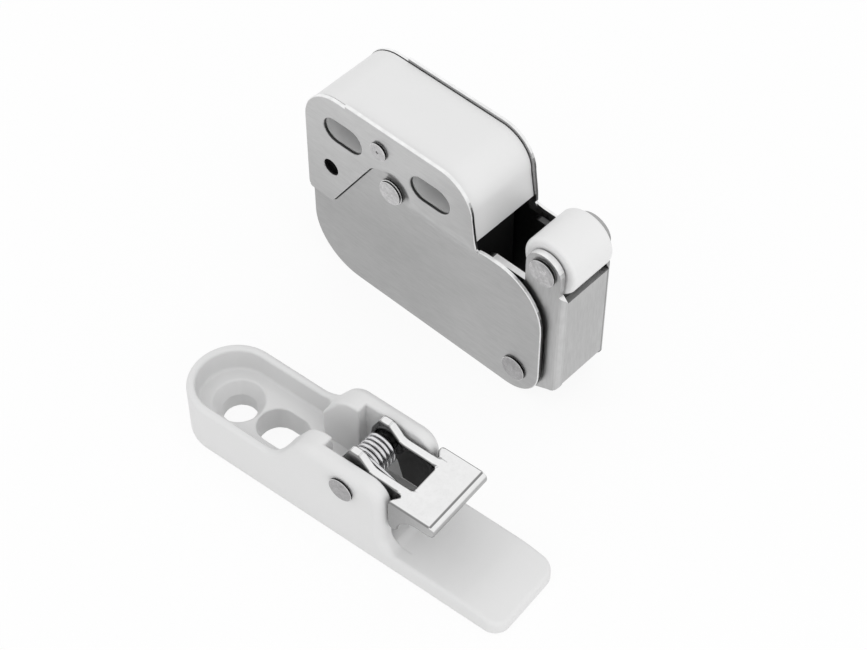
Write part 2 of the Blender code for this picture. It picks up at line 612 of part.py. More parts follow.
outside = slab(strap_plan(EAR_OUTER, BEND_R, 4), [], -5, BODY_TOP)
inside = slab(strap_plan(EAR_INNER, BEND_R - EAR_T, 5), [], -6, BODY_TOP + 1)
cut(arm, add("arm_plan", outside, (0, 0, 0)), "INTERSECT")
cut(arm, add("arm_hollow", inside, (0, 0, 0)))
for name, low_z, high_z in (("web_top", WEB_TOP, BODY_TOP + 1), ("web_foot", -6, WEB_FOOT)):
    tool = box(WEB_X - BEND_R - 1, WEB_X + 3, -EAR_INNER, EAR_INNER, low_z, high_z)
    cut(arm, add(name, tool, (0, 0, 0)))

# Roller on its pin
bore = ROLLER_PIN_R + SEAT_GAP
roller_half = [
    (bore, ROLLER_HALF), (ROLLER_R - ROLLER_RIM, ROLLER_HALF),
    (ROLLER_R - ROLLER_RIM * 0.3, ROLLER_HALF - ROLLER_RIM * 0.3), (ROLLER_R, ROLLER_HALF - ROLLER_RIM),
]
roller_profile = roller_half + [(r, -y) for r, y in roller_half[::-1]]
mesh = moved(turned(roller_profile, 40), ROLLER_X, 0, ROLLER_Z)
add("roller", mesh, (ROLLER_X, 0, ROLLER_Z), WHITE_PLASTIC, 50)

# Sleeve that keeps the arm's ears apart on the pivot pin
bore = PIVOT_R + SEAT_GAP
sleeve_half = [(bore, ROLLER_HALF), (SLEEVE_R, ROLLER_HALF)]
sleeve_profile = sleeve_half + [(r, -y) for r, y in sleeve_half[::-1]]
mesh = moved(turned(sleeve_profile), PIVOT_X, 0, PIVOT_Z)
add("pivot_sleeve", mesh, (PIVOT_X, 0, PIVOT_Z), BLACK_PLASTIC, 40)


def coil(cx, cz, radius, turns, pitch, start, per_turn, direction):
    """Centre points of a coil about a line along y, from the front end to the rear end."""
    points = []
    count = int(round(turns * per_turn))
    for i in range(count + 1):
        angle = math.radians(start + direction * 360.0 * i / per_turn)
        y = (i / per_turn - turns / 2) * pitch
        points.append((cx + radius * math.cos(angle), y, cz + radius * math.sin(angle)))
    return points


# Eject spring round the sleeve: one leg bears on the cam block, the other on the arm's web
body = coil(PIVOT_X, PIVOT_Z, EJECT_R, EJECT_TURNS, EJECT_PITCH, 270, 10, 1)
front_y, rear_y = body[0][1], body[-1][1]
leg_x = CAM_RIGHT + SEAT_GAP + EJECT_WIRE / 2
leg_z = PIVOT_Z - EJECT_R
web_in = WEB_X - EAR_T - SEAT_GAP - EJECT_WIRE / 2
path = [
    (leg_x, front_y, leg_z + EJECT_HOOK), (leg_x + 0.3, front_y, leg_z + 0.6),
    (leg_x + 1.1, front_y, leg_z), (PIVOT_X - 2.0, front_y, leg_z),
] + body + [
    (PIVOT_X + EJECT_R + 0.3, rear_y, PIVOT_Z + 2.0),
    (web_in - 0.4, rear_y, PIVOT_Z + EJECT_REACH - 2.4), (web_in, rear_y, PIVOT_Z + EJECT_REACH),
]
add("eject_spring", wire(path, EJECT_WIRE), (PIVOT_X, 0, PIVOT_Z), SPRING_STEEL)
print("eject spring least gap mm", round(least_gap(body, EJECT_WIRE, 6), 3))

# Follower wire: hooked into the arm's front ear, its bent tip runs in the track
near = LINK_BEND * 0.3
path = [
    (LINK_X, -EAR_OUTER + HEAD_GAP, LINK_Z), (LINK_X, LINK_Y - LINK_BEND, LINK_Z),
    (LINK_X - near, LINK_Y - near, LINK_Z), (LINK_X - LINK_BEND, LINK_Y, LINK_Z),
    (TIP_X + LINK_BEND, LINK_Y, LINK_Z), (TIP_X + near, LINK_Y + near, LINK_Z),
    (TIP_X, LINK_Y + LINK_BEND, LINK_Z), (TIP_X, POCKET_Y + TRACK_DEPTH - SEAT_GAP, LINK_Z),
]
add("follower_wire", wire(path, LINK_WIRE, 2), (LINK_X, 0, LINK_Z), SPRING_STEEL)

# Leaf spring that keeps the follower's tip down in the track
leaf_left = TIP_X - POCKET_BACK + SEAT_GAP
leaf_z = LINK_Z + POCKET_ABOVE - SEAT_GAP - LEAF_HALF
bow = []
for i in range(9):
    y = LEAF_Y + LEAF_BOW * math.sin(math.pi * i / 8)
    bow.append((leaf_left + LEAF_LONG * i / 8, y))
under = [(x, y + LEAF_T) for x, y in bow[::-1]]
mesh = slab(bow + under, [], leaf_z - LEAF_HALF, leaf_z + LEAF_HALF)
add("follower_leaf", mesh, (TIP_X, LEAF_Y, LINK_Z), SPRING_STEEL)

latch_names = [obj.name for obj in parts.objects]

# Strike base: plan outline met with a side profile, then hollowed
end_half = STRIKE_HALF - STRIKE_TAPER
plan = (
    arc(STRIKE_HALF, 0, STRIKE_HALF, 90, 270, 24)
    + arc(STRIKE_LONG - TONGUE_R, TONGUE_R - end_half, TONGUE_R, -90, 0, 8)
    + arc(STRIKE_LONG - TONGUE_R, end_half - TONGUE_R, TONGUE_R, 0, 90, 8)
)
rise_left = CHEEK_LEFT - RISE_RUN
profile = (
    [(-1.0, 0.0), (STRIKE_LONG + 1, 0.0), (STRIKE_LONG + 1, TONGUE_TIP_T - 0.1)]
    + [(STRIKE_LONG - TONGUE_SLOPE, TONGUE_T)]
    + arc(CHEEK_RIGHT + TONGUE_FILLET, TONGUE_T + TONGUE_FILLET, TONGUE_FILLET, 270, 180, 6)
    + arc(CHEEK_RIGHT - CHEEK_R, CHEEK_TOP - CHEEK_R, CHEEK_R, 0, 90, 8)
    + arc(CHEEK_LEFT + 0.4, CHEEK_TOP - RISE_R, RISE_R, 90, 90 + RISE_SLOPE, 4)
    + arc(rise_left - 0.6, STRIKE_RIM + RISE_R, RISE_R, RISE_SLOPE - 90, -90, 4)
    + [(-1.0, STRIKE_RIM)]
)
over = CHEEK_TOP + 3
across = STRIKE_HALF + 2
base = add("strike_base", slab(plan, [], 0.0, over - 1), (LEVER_X, 0, 0), WHITE_PLASTIC)
cut(base, add("strike_profile", sheet(profile, [], -across, across), (0, 0, 0)), "INTERSECT")
weld = base.modifiers.new("weld", "WELD")
weld.merge_threshold = 0.00005
soft = base.modifiers.new("soft edges", "BEVEL")
soft.width = STRIKE_EDGE * MM
soft.segments = 2
soft.limit_method = "ANGLE"
soft.angle_limit = math.radians(50)
recess_half = STRIKE_HALF - RECESS_WALL
recess = (
    arc(STRIKE_HALF, 0, recess_half, 90, 270, 20)
    + arc(RECESS_RIGHT - RECESS_R, RECESS_R - recess_half, RECESS_R, -90, 0, 5)
    + arc(RECESS_RIGHT - RECESS_R, recess_half - RECESS_R, RECESS_R, 0, 90, 5)
)
cut(base, add("screw_recess", slab(recess, [], STRIKE_FLOOR, over), (0, 0, 0)))
tool = box(RECESS_RIGHT - 2, BLOCK_RIGHT + 1, -BLOCK_HALF, BLOCK_HALF, STRIKE_FLOOR + FLOOR_STEP, over)
cut(base, add("block_gap", tool, (0, 0, 0)))
channel_right = CHEEK_RIGHT + CHANNEL_END
tool = box(BLOCK_RIGHT, channel_right, -CHANNEL_HALF, CHANNEL_HALF, TONGUE_T + FLOOR_STEP, over)
cut(base, add("lever_channel", tool, (0, 0, 0)))
cone_slope = (SCREW_CONE_R - SCREW_R) / SCREW_CONE_T
cone = [
    (0.0, STRIKE_FLOOR + 0.5), (SCREW_CONE_R + 0.5 * cone_slope, STRIKE_FLOOR + 0.5),
    (SCREW_R, STRIKE_FLOOR - SCREW_CONE_T), (SCREW_R, -1.0), (0.0, -1.0),
]
mesh = turned(cone, 32)
mesh.transform(Matrix.Rotation(math.radians(90), 4, "X"))
cut(base, add("screw_hole", moved(mesh, SCREW_1_X, 0, 0), (0, 0, 0)))
slot_2 = stadium(SCREW_2_X + SCREW_2_LONG / 2, 0, SCREW_2_LONG + 2 * SCREW_2_R, 2 * SCREW_2_R, 14)
cut(base, add("screw_slot", slab(slot_2, [], -1.0, STRIKE_FLOOR + 1), (0, 0, 0)))
pin_hole = arc(LEVER_X, LEVER_Z, LEVER_PIN_R + SEAT_GAP, 0, 345, 23)
cut(base, add("lever_pin_hole", sheet(pin_hole, [], -across, across), (0, 0, 0)))

# Hook lever: two ears on the pin, two rails and a bar with a nest for the roller under it
ear_hole = LEVER_PIN_R + RUN_GAP
rail_foot = BAR_TOP - BAR_NOSE_R - 0.75
ear = (
    [(LEVER_X - 0.9, LEVER_Z + KNUCKLE_RISE), (LEVER_X + 0.5, LEVER_Z + KNUCKLE_RISE)]
    + [(LEVER_X + 2.3, LEVER_Z + RAIL_RISE), (BAR_LEFT + RAIL_LAP, BAR_TOP), (BAR_LEFT + RAIL_LAP, rail_foot)]
    + [(LEVER_X + 3.2, LEVER_Z - 0.5)]
    + arc(LEVER_X, LEVER_Z, ear_hole + EAR_WALL, -45, -180, 10)
)
ear_holes = [arc(LEVER_X, LEVER_Z, ear_hole, 0, 345, 23)]
nest_x = BAR_LEFT + BAR_LIP + NEST_R
nest_z = BAR_TOP - 2 * BAR_NOSE_R - NEST_R
lip_r = BAR_LIP / 2
bar = (
    [(BAR_LEFT + BAR_LIP, BAR_TOP)]
    + arc(BAR_RIGHT - BAR_NOSE_R, BAR_TOP - BAR_NOSE_R, BAR_NOSE_R, 90, -90, 10)
    + arc(nest_x, nest_z, NEST_R, 90, 176, 10)
    + arc(BAR_LEFT + lip_r, nest_z - 0.2, lip_r, -20, -180, 5)
    + [(BAR_LEFT, BAR_TOP - 2.2), (BAR_LEFT + 0.2, BAR_TOP - 0.9)]
)
lever = add("hook_lever", sheet(bar, [], -BAR_HALF, BAR_HALF), (LEVER_X, 0, LEVER_Z), CAST_CHROME)
tool = box(BAR_LEFT - 2, BAR_LEFT + WINDOW_LAP, -EAR_IN, EAR_IN, 0, BAR_TOP + 3)
cut(lever, add("lever_window", tool, (0, 0, 0)))
for name, low_y, high_y in (("front_ear", -EAR_OUT, -EAR_IN), ("rear_ear", EAR_IN, EAR_OUT)):
    cut(lever, add(name, sheet(ear, ear_holes, low_y, high_y), (0, 0, 0)), "UNION")

rivet("lever_pin", LEVER_X, LEVER_Z, LEVER_PIN_R, LEVER_HEAD_R, STRIKE_HALF, RIVET_HEAD_T)

# Lever spring round the pin: one leg presses the bar down, the other bears on the recess floor
body = coil(LEVER_X, LEVER_Z, LEVER_COIL_R, LEVER_TURNS, LEVER_PITCH, 90, 10, 1)
front_y, rear_y = body[0][1], body[-1][1]
foot_z = STRIKE_FLOOR + FLOOR_STEP + SEAT_GAP + LEVER_WIRE / 2
path = [
    (BAR_LEFT + WINDOW_LAP - 0.8, front_y, LEVER_Z - 0.6), (LEVER_X + 4.5, front_y, LEVER_Z + 0.9),
    (LEVER_X + 1.4, front_y, LEVER_Z + LEVER_COIL_R),
] + body + [
    (LEVER_X - 1.6, rear_y, LEVER_Z - LEVER_COIL_R), (LEVER_X - 4.2, rear_y, LEVER_Z - LEVER_COIL_R - 0.6),
    (RECESS_RIGHT + 1.0, rear_y, foot_z),
]
add("lever_spring", wire(path, LEVER_WIRE), (LEVER_X, 0, LEVER_Z), SPRING_STEEL)
print("lever spring least gap mm", round(least_gap(body, LEVER_WIRE, 6), 3))

# Both halves hang on empties, placed so that the set's bounding box has its bottom centre at the origin
latch = bpy.data.objects.new("latch_frame", None)
strike = bpy.data.objects.new("strike_frame", None)
parts.objects.link(latch)
parts.objects.link(strike)
strike.rotation_euler = (0.0, 0.0, math.radians(STRIKE_YAW))
strike.location = Vector((STRIKE_X, STRIKE_Y, 0.0)) * MM
for obj in list(parts.objects) + list(cutters.objects):
    if obj.type == "MESH":
        obj.parent = latch if obj.name in latch_names else strike
strike_tools = {mod.object.name for obj in parts.objects if obj.parent == strike for mod in obj.modifiers
                if mod.type == "BOOLEAN"}
for obj in cutters.objects:
    obj.parent = strike if obj.name in strike_tools else latch
bpy.context.view_layer.update()
lows = [1000.0] * 3
highs = [-1000.0] * 3
graph = bpy.context.evaluated_depsgraph_get()
for obj in parts.objects:
    if obj.type != "MESH":
        continue
    shape = obj.evaluated_get(graph).to_mesh()
    for vert in shape.vertices:
        spot = obj.matrix_world @ vert.co
        for axis in range(3):
            lows[axis] = min(lows[axis], spot[axis])
            highs[axis] = max(highs[axis], spot[axis])
middle = Vector(((lows[0] + highs[0]) / 2, (lows[1] + highs[1]) / 2, lows[2]))
latch.location -= middle
strike.location -= middle
bpy.context.view_layer.update()
print("frame shift mm", [round(value / MM, 3) for value in middle])
print("size mm", [round((high - low) / MM, 2) for low, high in zip(lows, highs)])
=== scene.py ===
"""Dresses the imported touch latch: the latch body with its roller arm, and the strike with its hook lever."""
import json
import math
from types import SimpleNamespace

import bmesh
import bpy
import numpy as np
from mathutils import Matrix, Vector
from mathutils.geometry import delaunay_2d_cdt


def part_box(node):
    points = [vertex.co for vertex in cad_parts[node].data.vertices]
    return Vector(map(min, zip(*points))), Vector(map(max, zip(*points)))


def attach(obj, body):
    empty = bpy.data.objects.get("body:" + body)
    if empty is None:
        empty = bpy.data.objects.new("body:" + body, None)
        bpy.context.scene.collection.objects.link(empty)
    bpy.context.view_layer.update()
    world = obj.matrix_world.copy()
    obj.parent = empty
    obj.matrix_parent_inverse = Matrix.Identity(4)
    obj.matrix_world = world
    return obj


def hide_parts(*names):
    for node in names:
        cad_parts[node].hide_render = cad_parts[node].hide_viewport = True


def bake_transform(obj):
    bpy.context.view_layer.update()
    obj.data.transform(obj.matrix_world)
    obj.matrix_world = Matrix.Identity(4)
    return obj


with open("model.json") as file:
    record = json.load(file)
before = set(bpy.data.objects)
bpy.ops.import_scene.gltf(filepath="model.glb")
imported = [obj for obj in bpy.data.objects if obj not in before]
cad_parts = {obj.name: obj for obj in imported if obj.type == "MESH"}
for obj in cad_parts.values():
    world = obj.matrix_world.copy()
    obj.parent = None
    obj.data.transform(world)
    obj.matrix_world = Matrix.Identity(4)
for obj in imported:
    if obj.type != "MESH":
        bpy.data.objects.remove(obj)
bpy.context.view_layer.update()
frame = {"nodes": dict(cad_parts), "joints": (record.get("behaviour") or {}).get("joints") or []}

bl_info = {
    "name": "Touch latch",
    "version": (1, 0, 0),
    "blender": (4, 5, 0),
    "location": "View3D > Sidebar > Latch",
    "description": "Dresses the touch latch and its strike with rounded edges, wires and finishes",
    "category": "Object",
}

MM = 0.001
WELD = 1e-6                 # metres, doubles nearer than this are merged
FLAT = math.radians(0.5)    # faces this nearly level are joined
CREASE = math.radians(38)   # edges that fold more than this are creases
EDGE_STEPS = 4              # faces across a rounded edge
RELIEF = 0.00002            # metres, depth of the finishes' relief
WHITE = (1.0, 1.0, 1.0, 1.0)
JOINTS = {joint["name"]: joint for joint in frame["joints"]}


def plain(name, description, value, **limits):
    """A plain number as a property."""
    return bpy.props.FloatProperty(name=name, description=description, default=value, **limits)


def length(name, description, millimetres):
    """A length property, given in millimetres and kept in metres."""
    return plain(name, description, millimetres * MM, unit="LENGTH", precision=5)


def bearing(name, description, degrees):
    """An angle property, given in degrees."""
    return plain(name, description, math.radians(degrees), subtype="ANGLE")


def whole(name, description, value, least):
    """A whole number as a property."""
    return bpy.props.IntProperty(name=name, description=description, default=value, min=least)


def colour(name, description, red, green, blue):
    """A colour property."""
    return bpy.props.FloatVectorProperty(name=name, description=description, size=3, subtype="COLOR",
                                         default=(red, green, blue), min=0.0, max=1.0)


def grey(name, description, value):
    """A colour property without hue."""
    return colour(name, description, value, value, value)


def factor(name, description, value):
    """A property between nothing and all."""
    return plain(name, description, value, subtype="FACTOR", min=0.0, max=1.0)


class LatchFinishes(bpy.types.PropertyGroup):
    """Colours and gloss of the pieces."""
    # The two sheet tones paint light and shade: the lit top tone and the shaded low tone, blended by the level
    # attribute.
    lit_top_steel: grey("Mounting part", "Satin steel at the top of the side sheets", 0.58)
    shaded_low_steel: grey("Side part", "Satin steel of the side sheets below the step", 0.395)
    arm_steel: grey("Arm", "Satin steel of the swing arm", 0.50)
    # Bright edge steel stands for rubbed edges and also for painted highlights, on edges facing up and on
    # bends.
    edge_steel: grey("Rubbed edges", "Bright steel of the sheared and rubbed edges", 0.93)
    rivet_steel: colour("Rivets", "Steel of the rivet heads", 0.53, 0.525, 0.53)
    pin_steel: colour("Pins", "Steel of the pivot pin and the lever's pin", 0.37, 0.365, 0.37)
    spring_steel: colour("Springs", "Bright drawn wire", 0.72, 0.72, 0.73)
    chrome: grey("Hook lever", "Polished cast lever", 0.84)
    cover_white: grey("Cover", "White of the moulded cover", 0.775)
    tunnel_grey: grey("Tunnels", "Shaded grey inside the slots", 0.62)
    roller_white: grey("Roller", "White of the roller", 0.79)
    strike_white: grey("Strike", "White of the strike's moulding", 0.74)
    inner_black: grey("Inside", "Black of the moulding inside the body", 0.03)
    steel_rough: factor("Steel roughness", "Roughness of the satin steel", 0.36)
    white_rough: factor("White roughness", "Roughness of the white mouldings", 0.42)


class BodySizes(bpy.types.PropertyGroup):
    """Sizes of the latch body's finish."""
    plate_edge: length("Plate edge", "Rounding of the plates' edges", 0.16)
    cover_edge: length("Cover edge", "Rounding of the cover's edges", 0.25)
    arm_edge: length("Arm edge", "Rounding of the arm's edges", 0.3)
    ear_set: length("Ear set", "How far the arm's ears and roller reach out to the sheets", 0.55)
    web_set: length("Web set", "How far the arm's web is drawn in", 0.05)
    pin_set: length("Pin set", "How far the roller pin reaches out with the ears", 0.3)
    web_cut: length("Web cut", "How far the web's upper edge is cut down under the roller", 0.4)
    roller_more: length("Roller crown", "How far the roller's face stands over its core", 0.1)
    roller_rim: length("Roller rim", "Rounding of the roller's rims", 0.55)
    roller_bore: length("Roller bore", "Radius of the roller's hole", 1.45)
    sheet: length("Sheet", "Thickness of the pressed side sheets", 0.5)
    sheet_step: length("Step", "Depth of the pressed step below the mounting part", 0.4)
    step_run: length("Step run", "Width of the slope of that step", 1.8)
    slit_end: bearing("Slit end", "Where the slit beside the tab ends, about the main rivet", 120)
    cover_half: length("Cover half", "Half width of the cover between the sheets", 5.66)
    main_shank: length("Main shank", "Radius of the main rivet's shank", 1.5)
    cover_shank: length("Cover shank", "Radius of the cover rivet's shank", 0.9)
    pivot_shank: length("Pivot shank", "Radius of the pivot pin's shank", 1.5)
    roller_shank: length("Roller shank", "Radius of the roller pin's shank", 1.2)
    thin_head: length("Rivet head", "Thickness of the rivet heads", 0.36)
    small_head: length("Cover rivet head", "Thickness of the cover rivet's head", 0.4)
    main_step: length("Main rivet step", "Height of the main rivet's upper step", 0.3)
    pin_head: length("Pin head", "Thickness of the roller pin's heads", 0.45)
    head_round: length("Head round", "Rounding of the rivet heads' rims", 0.08)
    head_dome: length("Head dome", "Crown of the rivet heads", 0.03)
    dimple: length("Dimple", "Radius of the cover rivet's dimple", 0.2)


class SpringSizes(bpy.types.PropertyGroup):
    """Sizes of the springs and of the follower wire."""
    eject_wire: length("Eject wire", "Wire of the arm's spring", 0.7)
    eject_radius: length("Eject coil", "Radius of the arm spring's coil", 2.75)
    eject_pitch: length("Eject pitch", "Step from turn to turn of the arm's spring", 1.2)
    eject_turns: plain("Eject turns", "Turns of the arm's spring", 4.25)
    lever_wire: length("Lever wire", "Wire of the lever's spring", 0.55)
    lever_radius: length("Lever coil", "Radius of the lever spring's coil", 2.075)
    lever_pitch: length("Lever pitch", "Step from turn to turn of the lever's spring", 0.7)
    lever_turns: plain("Lever turns", "Turns of the lever's spring", 5.5)
    follower_wire: length("Follower wire", "Wire of the follower", 0.8)
    sides: whole("Sides", "Sides round a wire", 14, 6)
    per_turn: whole("Points", "Points in one turn of a coil", 40, 12)


class StrikeSizes(bpy.types.PropertyGroup):
    """Sizes of the strike's moulding, from its rounded end."""
    long: length("Length", "Length of the strike", 54.2)
    half: length("Half width", "Half width at the rounded end", 6.4)
    taper: length("Taper", "Each side comes in by this much at the tongue's end", 0.25)
    floor: length("Recess floor", "Height of the screw recess's floor", 4.2)
    rim: length("Rim", "Height of the rim", 8.0)
    wall: length("Wall", "Thickness of the recess's wall", 1.2)
    recess_end: length("Recess end", "End of the recess", 19.1)
    recess_round: length("Recess corners", "Inner corners of the recess", 1.5)
    screw_x: length("Screw", "Place of the countersunk hole", 6.8)
    screw_radius: length("Screw radius", "Radius of the countersunk hole", 2.4)
    cone_radius: length("Countersink", "Radius of the countersink", 3.55)
    cone_depth: length("Countersink depth", "Depth of the countersink", 1.8)
    slot_x: length("Slot", "Start of the oblong hole", 13.5)
    slot_long: length("Slot length", "Straight stretch of the oblong hole", 2.0)
    slot_radius: length("Slot radius", "Radius of the oblong hole's ends", 2.75)
    cheek_left: length("Cheek start", "Left end of the cheeks' top", 22.6)
    cheek_right: length("Cheek end", "Right end of the cheeks", 35.9)
    cheek_top: length("Cheek top", "Height of the cheeks", 14.2)
    cheek_round: length("Cheek corner", "Upper right corner of the cheeks", 3.0)
    cheek_soft: length("Cheek edge", "Rounding of the cheeks' outer edge", 1.35)
    rise_round: length("Rise rounds", "Rounds at both ends of the slope", 1.6)
    rise_slope: bearing("Rise", "Slope up to the cheeks", 56)
    block_half: length("Block gap", "Half width of the gap between the blocks", 2.5)
    block_right: length("Block end", "Right end of the blocks", 25.3)
    channel_half: length("Channel", "Half width of the channel between the cheeks", 4.0)
    channel_end: length("Channel end", "Right end of the channel", 38.9)
    floor_step: length("Floor step", "Step between the floors", 0.2)
    tongue: length("Tongue", "Thickness of the tongue", 2.9)
    tongue_tip: length("Tongue tip", "Thickness at the tongue's end", 1.8)
    tongue_slope: length("Tongue slope", "Length over which the tongue thins", 6.3)
    tongue_round: length("Tongue corners", "Corners of the tongue", 2.2)
    tongue_fillet: length("Tongue fillet", "Fillet between the cheeks and the tongue", 2.0)
    soft: length("Edge", "Rounding of the outer edges", 0.55)
    inner_soft: length("Inner edge", "Rounding of the inner edges", 0.4)
    grid: length("Grid", "Step of the grid that the surface is drawn on", 0.2)


class LeverSizes(bpy.types.PropertyGroup):
    """Sizes of the hook lever, in the strike's own frame."""
    pin_x: length("Pin", "Place of the pin along the strike", 29.8)
    pin_radius: length("Pin radius", "Radius of the pin", 1.2)
    pin_head: length("Pin head", "Radius of the pin's heads", 1.8)
    pin_half: length("Pin half", "Half length of the pin", 6.78)
    pin_flush: length("Pin flush", "How much shorter its plain rear end is", 0.55)
    hole: length("Hole", "Radius of the ears' holes", 1.5)
    ear_in: length("Ear inside", "Inner face of the ears", 2.3)
    ear_out: length("Ear outside", "Outer face of the ears", 3.6)
    ear_wall: length("Ear wall", "Material round the ears' holes", 1.0)
    knuckle_rise: length("Knuckle", "Top of the knuckles over the pin", 4.0)
    rail_rise: length("Rail", "Top of the rails over the pin", 2.0)
    bar_rise: length("Bar rise", "Top of the bar over the pin", 1.9)
    bar_left: length("Bar start", "Left side of the bar", 36.2)
    bar_long: length("Bar length", "Length of the bar", 7.3)
    bar_half: length("Bar half", "Half width of the bar", 5.4)
    nose: length("Nose", "Rounding of the bar's nose", 0.98)
    lip: length("Lip", "Thickness of the bar's lip", 1.5)
    nest: length("Nest", "Radius of the hollow for the roller", 3.2)
    window: length("Window", "How far the window reaches into the bar", 1.6)
    rail_foot: length("Rail foot", "Height of the rails' lower edge", 6.2)
    rail_lap: length("Rail lap", "How far the rails run into the bar", 2.2)
    soft: length("Edge", "Rounding of the cast edges", 0.2)
    lean: length("Lean", "How far the bar's left side comes in beside the rails", 0.8)
    grid: length("Grid", "Step of the grid that the surface is drawn on", 0.12)


# Helpers for pieces

def in_mm(group):
    """A property group's lengths in millimetres, by name."""
    return SimpleNamespace(**{key: getattr(group, key) / MM for key in group.__annotations__})


def shown(name, mesh):
    """A new object at the origin for a mesh."""
    piece = bpy.data.objects.new(name, mesh)
    bpy.context.scene.collection.objects.link(piece)
    return piece


def settle(piece, body, slot, *nodes):
    """Lets a piece ride on its body and stand for its CAD nodes; its slot is not used."""
    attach(piece, body)
    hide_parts(*nodes)


def baked(piece):
    """The piece with its modifiers turned into a plain mesh."""
    graph = bpy.context.evaluated_depsgraph_get()
    mesh = bpy.data.meshes.new_from_object(piece.evaluated_get(graph))
    old = piece.data
    piece.modifiers.clear()
    piece.data = mesh
    bpy.data.meshes.remove(old)
    mesh.name = piece.name
    return piece


def creased(shape):
    """Smooths a mesh's faces but for the edges where it folds."""
    for face in shape.faces:
        face.smooth = True
    for edge in shape.edges:
        edge.smooth = edge.calc_face_angle(0.0) < CREASE


def merged_copy(node):
    """A welded copy of a CAD node's mesh with its level faces joined."""
    source = frame["nodes"][node].data
    points = [vertex.co[:] for vertex in source.vertices]
    faces = [polygon.vertices[:] for polygon in source.polygons]
    mesh = bpy.data.meshes.new(node + "_copy")
    mesh.from_pydata(points, [], faces)
    shape = bmesh.new()
    shape.from_mesh(mesh)
    bmesh.ops.remove_doubles(shape, verts=shape.verts, dist=WELD)
    bmesh.ops.dissolve_limit(shape, angle_limit=FLAT, verts=shape.verts, edges=shape.edges)
    creased(shape)
    shape.to_mesh(mesh)
    shape.free()
    return mesh


def mark(mesh, name, domain, values):
    """A number on every point or face of a mesh, for its finish to read."""
    layer = mesh.attributes.get(name) or mesh.attributes.new(name, "FLOAT", domain)
    layer.data.foreach_set("value", np.asarray(values, dtype=np.float32))


def face_table(mesh):
    """Centres in millimetres and normals of a mesh's faces."""
    spots = np.array([polygon.center[:] for polygon in mesh.polygons]) / MM
    return spots, np.array([polygon.normal[:] for polygon in mesh.polygons])


def rounded(name, mesh, width, finish):
    """A piece with its edges rounded off; the rounded faces carry the attribute rim."""
    mesh.materials.append(finish)
    mesh.materials.append(finish)
    piece = shown(name, mesh)
    edge = piece.modifiers.new("edge", "BEVEL")
    edge.width = width
    edge.segments = EDGE_STEPS
    edge.limit_method = "ANGLE"
    edge.angle_limit = CREASE
    edge.harden_normals = True
    edge.material = 1
    baked(piece)
    rims = np.empty(len(piece.data.polygons), dtype=np.int32)
    piece.data.polygons.foreach_get("material_index", rims)
    mark(piece.data, "rim", "FACE", rims)
    piece.data.polygons.foreach_set("material_index", np.zeros_like(rims))
    piece.data.materials.pop(index=1)
    return piece


# Pressed sheets

def longest_first(loops):
    """Loops sorted by their reach."""
    return sorted(loops, key=lambda loop: -np.ptp(np.array(loop), axis=0).sum())


def rim_loops(node, side):
    """Edge loops of the face of a CAD node that points to this side along y, as x and z in millimetres."""
    mesh = merged_copy(node)
    shape = bmesh.new()
    shape.from_mesh(mesh)
    beside = {}
    for edge in shape.edges:
        if sum(face.normal.y * side > 0.9 for face in edge.link_faces) == 1:
            first, second = edge.verts
            beside.setdefault(first, []).append(second)
            beside.setdefault(second, []).append(first)
    loops = []
    while beside:
        start = next(iter(beside))
        loop, vertex = [], start
        while vertex in beside:
            loop.append((vertex.co.x / MM, vertex.co.z / MM))
            ahead = [other for other in beside.pop(vertex) if other in beside]
            vertex = ahead[0] if ahead else None
        loops.append(loop)
    shape.free()
    bpy.data.meshes.remove(mesh)
    return longest_first(loops)


def cut_up(loop, step):
    """A closed loop with its long sides cut into pieces no longer than this."""
    made = []
    for (ax, az), (bx, bz) in zip(loop, loop[1:] + loop[:1]):
        parts = max(1, math.ceil(math.hypot(bx - ax, bz - az) / step))
        made += [(ax + (bx - ax) * i / parts, az + (bz - az) * i / parts) for i in range(parts)]
    return made


def eased(share):
    """A share between nought and one, with soft ends."""
    share = np.clip(share, 0.0, 1.0)
    return share * share * (3.0 - 2.0 * share)


def filled(loops, spots):
    """Points and triangles over the loops' hull, with the loops as edges and the spots as further points."""
    points, edges = [], []
    for loop in loops:
        first = len(points)
        points += [Vector(point) for point in loop]
        edges += [(first + i, first + (i + 1) % len(loop)) for i in range(len(loop))]
    points += [Vector(spot) for spot in spots]
    points, _, faces, _, _, _ = delaunay_2d_cdt(points, edges, [], 0, 1e-5)
    return np.array([point[:] for point in points]), np.array(faces)


def free_edges(faces):
    """The edges that only one triangle uses, with the triangle on their left."""
    sides = {}
    for face in faces.tolist():
        for a, b in zip(face, face[1:] + face[:1]):
            if sides.pop((b, a), None) is None:
                sides[(a, b)] = True
    return list(sides)


def outlines(places, faces):
    """Closed loops round triangles, the longest first, each with the triangles on its left."""
    ahead = {}
    for a, b in free_edges(faces):
        ahead.setdefault(a, []).append(b)
    loops = []
    while ahead:
        spot = next(iter(ahead))
        loop = []
        while spot in ahead:
            loop.append(tuple(places[spot]))
            following = ahead[spot].pop()
            if not ahead[spot]:
                del ahead[spot]
            spot = following
        loops.append(loop)
    return longest_first(loops)


def inset(loop, depth):
    """A closed loop moved to its left by this much."""
    points = np.array(loop)
    along = np.roll(points, -1, axis=0) - points
    along /= np.linalg.norm(along, axis=1, keepdims=True)
    left = np.stack((-along[:, 1], along[:, 0]), axis=1)
    mean = left + np.roll(left, 1, axis=0)
    mean /= np.maximum(np.linalg.norm(mean, axis=1, keepdims=True), 1e-6)
    reach = depth / np.clip((mean * left).sum(axis=1, keepdims=True), 0.6, 1.0)
    return [tuple(point) for point in points + mean * reach]


def beyond(x, z, loops):
    """Distance out of the sheet that the first loop bounds and the others pierce, below nought inside it."""
    signs = [1] + [-1] * (len(loops) - 1)
    return np.max([polygon_distance(x, z, loop) * sign for loop, sign in zip(loops, signs)], axis=0)


